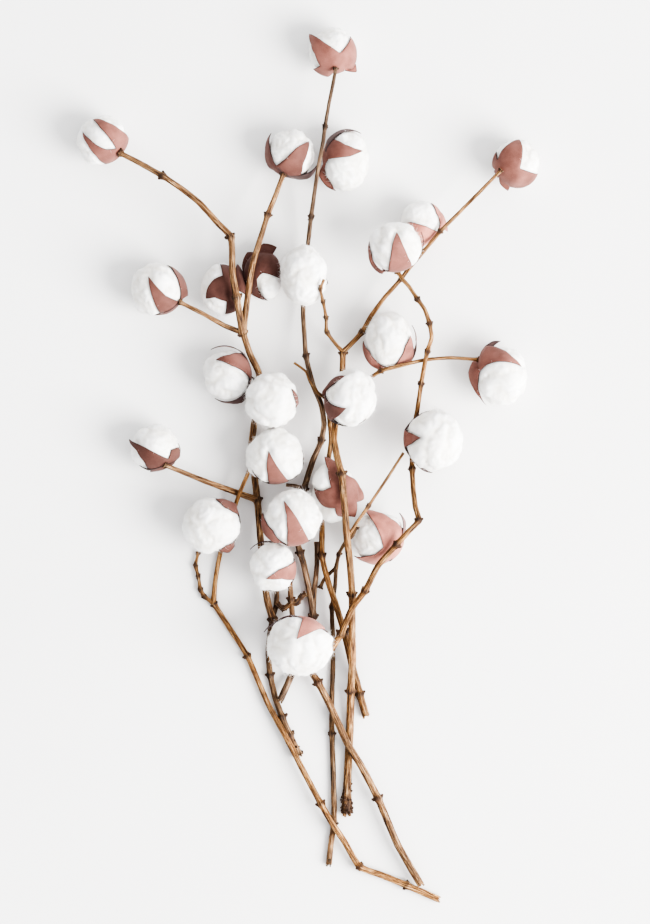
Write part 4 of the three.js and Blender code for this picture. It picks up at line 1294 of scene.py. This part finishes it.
def grain_group():
    tree, given, result = new_group(
        "twig grain", "ShaderNodeTree",
        {
            "Place": ("NodeSocketVector", None),
            "Streak Length": ("NodeSocketFloat", 0.013),
            "Streak Width": ("NodeSocketFloat", 3.1),
            "Speck Size": ("NodeSocketFloat", 0.0013),
        },
        {"Tone": "NodeSocketFloat", "Specks": "NodeSocketFloat"},
    )
    *around, along = node(tree, "ShaderNodeSeparateXYZ", {0: given.outputs["Place"]}).outputs
    spot = stretched(tree, around, along, given.outputs["Streak Width"],
                     given.outputs["Streak Length"])
    streaks = noise_at(tree, spot, detail=6.0, Roughness=0.68, Distortion=0.4)
    speck_spot = stretched(tree, around, along, SPECK_WIDTH, given.outputs["Speck Size"])
    sharp = node(tree, "ShaderNodeMapRange", {
        "Value": noise_at(tree, speck_spot), "From Min": 0.62, "From Max": 0.72,
    })
    tree.links.new(streaks, result.inputs["Tone"])
    tree.links.new(sharp.outputs[0], result.inputs["Specks"])
    return tree


GRAIN = grain_group()


def shader(material, **values):
    """The material's node tree and its Principled shader, with plain values set on it."""
    material.use_nodes = True
    tree = material.node_tree
    surface = tree.nodes["Principled BSDF"]
    for title, value in values.items():
        surface.inputs[title.replace("_", " ")].default_value = value
    return tree, surface


def attribute(tree, title, output="Fac"):
    return node(tree, "ShaderNodeAttribute", attribute_name=title).outputs[output]


def ramp(tree, value, *stops):
    """A colour ramp: each stop is a place from 0 to 1 and a colour."""
    made = node(tree, "ShaderNodeValToRGB", {"Fac": value})
    elements = made.color_ramp.elements
    while len(elements) < len(stops):
        elements.new(0.5)
    for element, (spot, colour) in zip(elements, stops):
        element.position, element.color = spot, (*colour, 1)
    return made.outputs["Color"]


def mix(tree, share, under, over, blend="MIX"):
    """One colour laid over another; each may be a colour or a socket."""
    made = node(tree, "ShaderNodeMix", data_type="RGBA", blend_type=blend)
    for socket, value in ((0, share), (6, under), (7, over)):
        if isinstance(value, bpy.types.NodeSocket):
            tree.links.new(value, made.inputs[socket])
        elif socket:
            made.inputs[socket].default_value = (*value, 1)
        else:
            made.inputs[socket].default_value = value
    return made.outputs[2]


def object_place(tree):
    return node(tree, "ShaderNodeTexCoord").outputs["Object"]


def value_by(tree, colour, value):
    """The colour made paler or darker by a factor."""
    values = {"Value": value, "Color": colour}
    return node(tree, "ShaderNodeHueSaturation", values).outputs[0]


def coat(tree, surface, colour, height, distance, strength):
    """Joins a colour and a bump to the surface."""
    tree.links.new(colour, surface.inputs["Base Color"])
    values = {"Height": height, "Distance": distance, "Strength": strength}
    tree.links.new(node(tree, "ShaderNodeBump", values).outputs[0], surface.inputs["Normal"])


def grain(tree, **values):
    """The grain group placed in a material, reading the twig's own attribute."""
    made = node(tree, "ShaderNodeGroup", node_tree=GRAIN)
    tree.links.new(attribute(tree, "bark", "Vector"), made.inputs["Place"])
    for title, value in values.items():
        made.inputs[title.replace("_", " ")].default_value = value
    return made.outputs


# %% Bark, bud and cut wood
BARK_TONES = (
    (0.37, (0.026, 0.009, 0.003)), (0.44, (0.10, 0.039, 0.011)),
    (0.51, (0.245, 0.115, 0.038)), (0.59, (0.42, 0.24, 0.10)), (0.69, (0.66, 0.47, 0.28)),
)
WEATHERED_TONES = (
    (0.37, (0.022, 0.013, 0.009)), (0.44, (0.068, 0.040, 0.026)),
    (0.52, (0.15, 0.094, 0.062)), (0.60, (0.28, 0.20, 0.14)), (0.68, (0.48, 0.38, 0.29)),
)
BUD_TONES = (
    (0.35, (0.018, 0.008, 0.005)), (0.6, (0.085, 0.038, 0.018)), (0.8, (0.22, 0.115, 0.06)),
)
WOOD_TONES = (0.35, (0.42, 0.27, 0.13)), (0.65, (0.78, 0.60, 0.38))
NODE_BROWN, SPECK_BROWN = (0.045, 0.019, 0.009), (0.05, 0.024, 0.012)
WOOD_EDGE = (0.30, 0.17, 0.08)


def finish_bark():
    tree, surface = shader(BARK, Specular_IOR_Level=0.4)
    lines = grain(tree)
    fresh = ramp(tree, lines["Tone"], *BARK_TONES)
    grey = ramp(tree, lines["Tone"], *WEATHERED_TONES)
    colour = mix(tree, attribute(tree, "weather"), fresh, grey)
    torn = math_node(tree, "MULTIPLY_ADD", lines["Tone"], -4.0, 2.95)
    ring = math_node(tree, "MULTIPLY", attribute(tree, "knob"), torn)
    ring = math_node(tree, "MINIMUM", ring, 0.9)
    colour = mix(tree, ring, colour, NODE_BROWN)
    colour = mix(tree, math_node(tree, "MULTIPLY", lines["Specks"], 0.6), colour, SPECK_BROWN)
    patches = noise_at(tree, object_place(tree), 38.0)
    patchy = math_node(tree, "MULTIPLY_ADD", patches, 1.5, 0.25)
    colour = value_by(tree, colour, math_node(tree, "MULTIPLY", patchy, attribute(tree, "pale")))
    rough = math_node(tree, "MULTIPLY_ADD", lines["Tone"], -0.4, 0.8)
    tree.links.new(rough, surface.inputs["Roughness"])
    relief = math_node(tree, "SUBTRACT", lines["Tone"], lines["Specks"])
    coat(tree, surface, colour, relief, 0.0006, 0.9)


def finish_buds():
    tree, surface = shader(BUD, Roughness=0.7)
    scales = noise_at(tree, object_place(tree), 900.0, 3.0)
    coat(tree, surface, ramp(tree, scales, *BUD_TONES), scales, 0.0003, 0.6)


def finish_cut_wood():
    tree, surface = shader(CUT_WOOD, Roughness=0.8)
    lines = grain(tree, Streak_Length=0.002, Streak_Width=5.0)
    around = node(tree, "ShaderNodeSeparateXYZ", {0: attribute(tree, "bark", "Vector")}).outputs[:2]
    out = math_node(tree, "ADD", *(math_node(tree, "MULTIPLY", part, part) for part in around))
    wood = ramp(tree, lines["Tone"], *WOOD_TONES)
    colour = mix(tree, math_node(tree, "MULTIPLY", out, 0.25), wood, WOOD_EDGE)
    coat(tree, surface, colour, lines["Tone"], 0.0003, 0.5)


finish_bark()
finish_buds()
finish_cut_wood()
print("bark finishes:", [material.name for material in (BARK, BUD, CUT_WOOD)])

# %% [markdown]
# ## Finishes: card
# The husks are thin dyed card: matt, a dusty brown pink, with a faint tooth and cloudy
# patches where the dye took more or less. The inside is drawn darker and greyer than the
# outside as painted shade, and the cut edge and a thin band along it are drawn dark as
# painted shade too. How pale each boll's card is drawn is partly dye and partly painted
# light and shade. All three share one group for the tooth and the clouds, read in Object
# coordinates, because card has no direction.

# %% Card group and finishes
def card_group():
    tree, given, result = new_group(
        "card surface", "ShaderNodeTree",
        {
            "Place": ("NodeSocketVector", None),
            "Cloud Scale": ("NodeSocketFloat", 90.0),
            "Tooth Scale": ("NodeSocketFloat", 1900.0),
        },
        {"Clouds": "NodeSocketFloat", "Tooth": "NodeSocketFloat"},
    )
    spot = given.outputs["Place"]
    clouds = noise_at(tree, spot, given.outputs["Cloud Scale"], 4.0)
    tooth = noise_at(tree, spot, given.outputs["Tooth Scale"], 3.0, Roughness=0.7)
    tree.links.new(clouds, result.inputs["Clouds"])
    tree.links.new(tooth, result.inputs["Tooth"])
    return tree


CARD = card_group()


def finish_card(material, deep, pale, edge, edge_shade_width=0.55, roughness=0.72):
    tree, surface = shader(material, Roughness=roughness, Specular_IOR_Level=0.3,
                           Sheen_Weight=0.12, Sheen_Roughness=0.5)
    made = node(tree, "ShaderNodeGroup", node_tree=CARD)
    tree.links.new(object_place(tree), made.inputs["Place"])
    tone = math_node(tree, "MULTIPLY_ADD", made.outputs["Tooth"], 0.35,
                     math_node(tree, "MULTIPLY", made.outputs["Clouds"], 0.65))
    colour = ramp(tree, tone, (0.36, deep), (0.62, pale))
    # painted shade: the card drawn darker in a thin band along its cut edge
    near = node(tree, "ShaderNodeMapRange", {
        "Value": attribute(tree, "edge_distance"), "From Min": 0.12, "From Max": edge_shade_width,
        "To Min": 0.75, "To Max": 0.0,
    })
    colour = mix(tree, near.outputs[0], colour, edge)
    # painted light and shade per boll, together with its dye: the card drawn paler or darker
    colour = value_by(tree, colour, attribute(tree, "dye"))
    coat(tree, surface, colour, made.outputs["Tooth"], 0.00012, 0.55)


for material, *tones in (
    (HUSK_CARD, (0.165, 0.067, 0.052), (0.262, 0.116, 0.092), (0.055, 0.030, 0.026)),
    # the inside: the same card drawn darker and greyer, painted shade
    (HUSK_INSIDE_PAINTED_SHADE, (0.085, 0.050, 0.047), (0.14, 0.085, 0.08), (0.05, 0.034, 0.034)),
    # the cut edge: drawn dark all over, painted shade
    (CARD_EDGE_PAINTED_SHADE, (0.05, 0.033, 0.032), (0.10, 0.065, 0.063), (0.05, 0.033, 0.032)),
):
    finish_card(material, *tones)
print("card finishes:", HUSK_CARD.name, HUSK_INSIDE_PAINTED_SHADE.name, CARD_EDGE_PAINTED_SHADE.name)

# %% [markdown]
# ## Finishes: cotton wool
# Cotton is white all through and light wanders about inside it, so its shadows are soft
# and never dark. Subsurface scattering does that. In the creases the colour is drawn a
# little darker and warmer, as painted shade. The lumps themselves are geometry; only the
# finest matting of fibres is left to a bump.

# %% Cotton finish
COTTON_TONES = (0.35, (0.86, 0.85, 0.82)), (0.6, (0.93, 0.925, 0.91))
# painted shade: the darker, warmer colour of the cotton in its creases
CREASE_SHADE_TONE = (0.74, 0.70, 0.62)


def finish_cotton():
    tree, surface = shader(
        COTTON_WOOL, Roughness=0.95, Specular_IOR_Level=0.1, Subsurface_Weight=0.55,
        Subsurface_Radius=(1.0, 0.95, 0.9), Subsurface_Scale=0.004,
        Sheen_Weight=0.2, Sheen_Roughness=0.6,
    )
    matted = noise_at(tree, object_place(tree), 700.0, 5.0, Roughness=0.7, Distortion=1.2)
    patches = noise_at(tree, object_place(tree), 55.0, 3.0)
    # painted shade: the deeper the crease, the more of the crease colour
    crease_shade = math_node(tree, "MULTIPLY", attribute(tree, "crease"), 0.5)
    colour = mix(tree, crease_shade, ramp(tree, patches, *COTTON_TONES), CREASE_SHADE_TONE)
    coat(tree, surface, colour, matted, 0.0005, 0.5)


finish_cotton()
print("cotton finish:", COTTON_WOOL.name)

# %% [markdown]
# ## Joining the pieces to the frame
# Every piece rides on the frame's one body and stands for one of its solids, whose
# part is hidden in its place.

# %% Ride and replace
def hand_over(piece, solid):
    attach(piece, BODY)
    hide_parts(solid)


for piece in stems:
    hand_over(piece, piece.name.replace("twig_", "stem_"))
for name in BOLLS:
    hand_over(husks[name], "husk_" + name)
    hand_over(tufts[name], "cotton_" + name)
print(len(stems) + len(husks) + len(tufts), "pieces ride on", BODY)

# %% [markdown]
# ## Table, light and camera
# The bunch lies on a plain pale table. A large soft light stands to the right and a
# little towards the cut ends, so every boll throws a soft shadow to the left, and a
# pale room, brighter on the window side, fills the shadows. The camera hangs straight
# above, far enough away that the bolls aren't seen from the side.

# %% Table
TABLE_HALF = 3.0
TABLE_TONES = (0.3, (0.79, 0.785, 0.78)), (0.7, (0.82, 0.82, 0.82))

table_mesh = bpy.data.meshes.new("table_top")
table_mesh.from_pydata(
    [(x * TABLE_HALF, y * TABLE_HALF, 0.0) for x, y in ((-1, -1), (1, -1), (1, 1), (-1, 1))],
    [], [(0, 1, 2, 3)],
)
table = add_piece("table_top", table_mesh)
TABLE_TOP = bpy.data.materials.new("table_top")
table_tree, table_surface = shader(TABLE_TOP, Roughness=0.7, Specular_IOR_Level=0.15)
table_clouds = noise_at(table_tree, object_place(table_tree), 2.5)
table_colour = ramp(table_tree, table_clouds, *TABLE_TONES)
table_tree.links.new(table_colour, table_surface.inputs["Base Color"])
table_mesh.materials.append(TABLE_TOP)

# %% Light
KEY_PLACE, KEY_SIZE, KEY_POWER = (3.0, -1.2, 2.4), 2.9, 150.0
ROOM_COLOUR, ROOM_STRENGTH = (0.99, 0.99, 1.0), 0.56
ROOM_TILT = 0.36  # how much brighter the window side of the room is, and darker the other

key_light = bpy.data.lights.new("window", "AREA")
key_light.shape, key_light.size = "DISK", KEY_SIZE
key_light.energy, key_light.color = KEY_POWER, (1.0, 0.985, 0.96)
key = add_piece("window", key_light)
key.location = KEY_PLACE
key.rotation_euler = (-Vector(KEY_PLACE)).to_track_quat("-Z", "Y").to_euler()

room = bpy.data.worlds.new("room")
room.use_nodes = True
background = room.node_tree.nodes["Background"]
background.inputs["Color"].default_value = (*ROOM_COLOUR, 1)
room_direction = node(room.node_tree, "ShaderNodeTexCoord").outputs["Generated"]
room_sides = node(room.node_tree, "ShaderNodeSeparateXYZ", {0: room_direction})
room_light = node(room.node_tree, "ShaderNodeMapRange", {
    "Value": room_sides.outputs[0], "From Min": -1.0, "From Max": 1.0,
    "To Min": ROOM_STRENGTH - ROOM_TILT, "To Max": ROOM_STRENGTH + ROOM_TILT,
})
room.node_tree.links.new(room_light.outputs[0], background.inputs["Strength"])
bpy.context.scene.world = room
print("light:", KEY_POWER, "watts from the window, room", ROOM_STRENGTH)

# %% Film
film = bpy.context.scene.view_settings
film.view_transform = "AgX"
film.look = "AgX - Very High Contrast"
film.exposure = 1.1

# %% Camera
CAMERA_AT = place(325, 462, 3715)  # columns, rows and millimetres above the table
LENS = 180

camera_data = bpy.data.cameras.new("camera")
camera_data.lens, camera_data.sensor_width = LENS, 36
camera_data.clip_end = 20
camera = add_piece("camera", camera_data)
camera.location = CAMERA_AT
bpy.context.scene.camera = camera
print("camera", [round(float(value), 3) for value in CAMERA_AT])
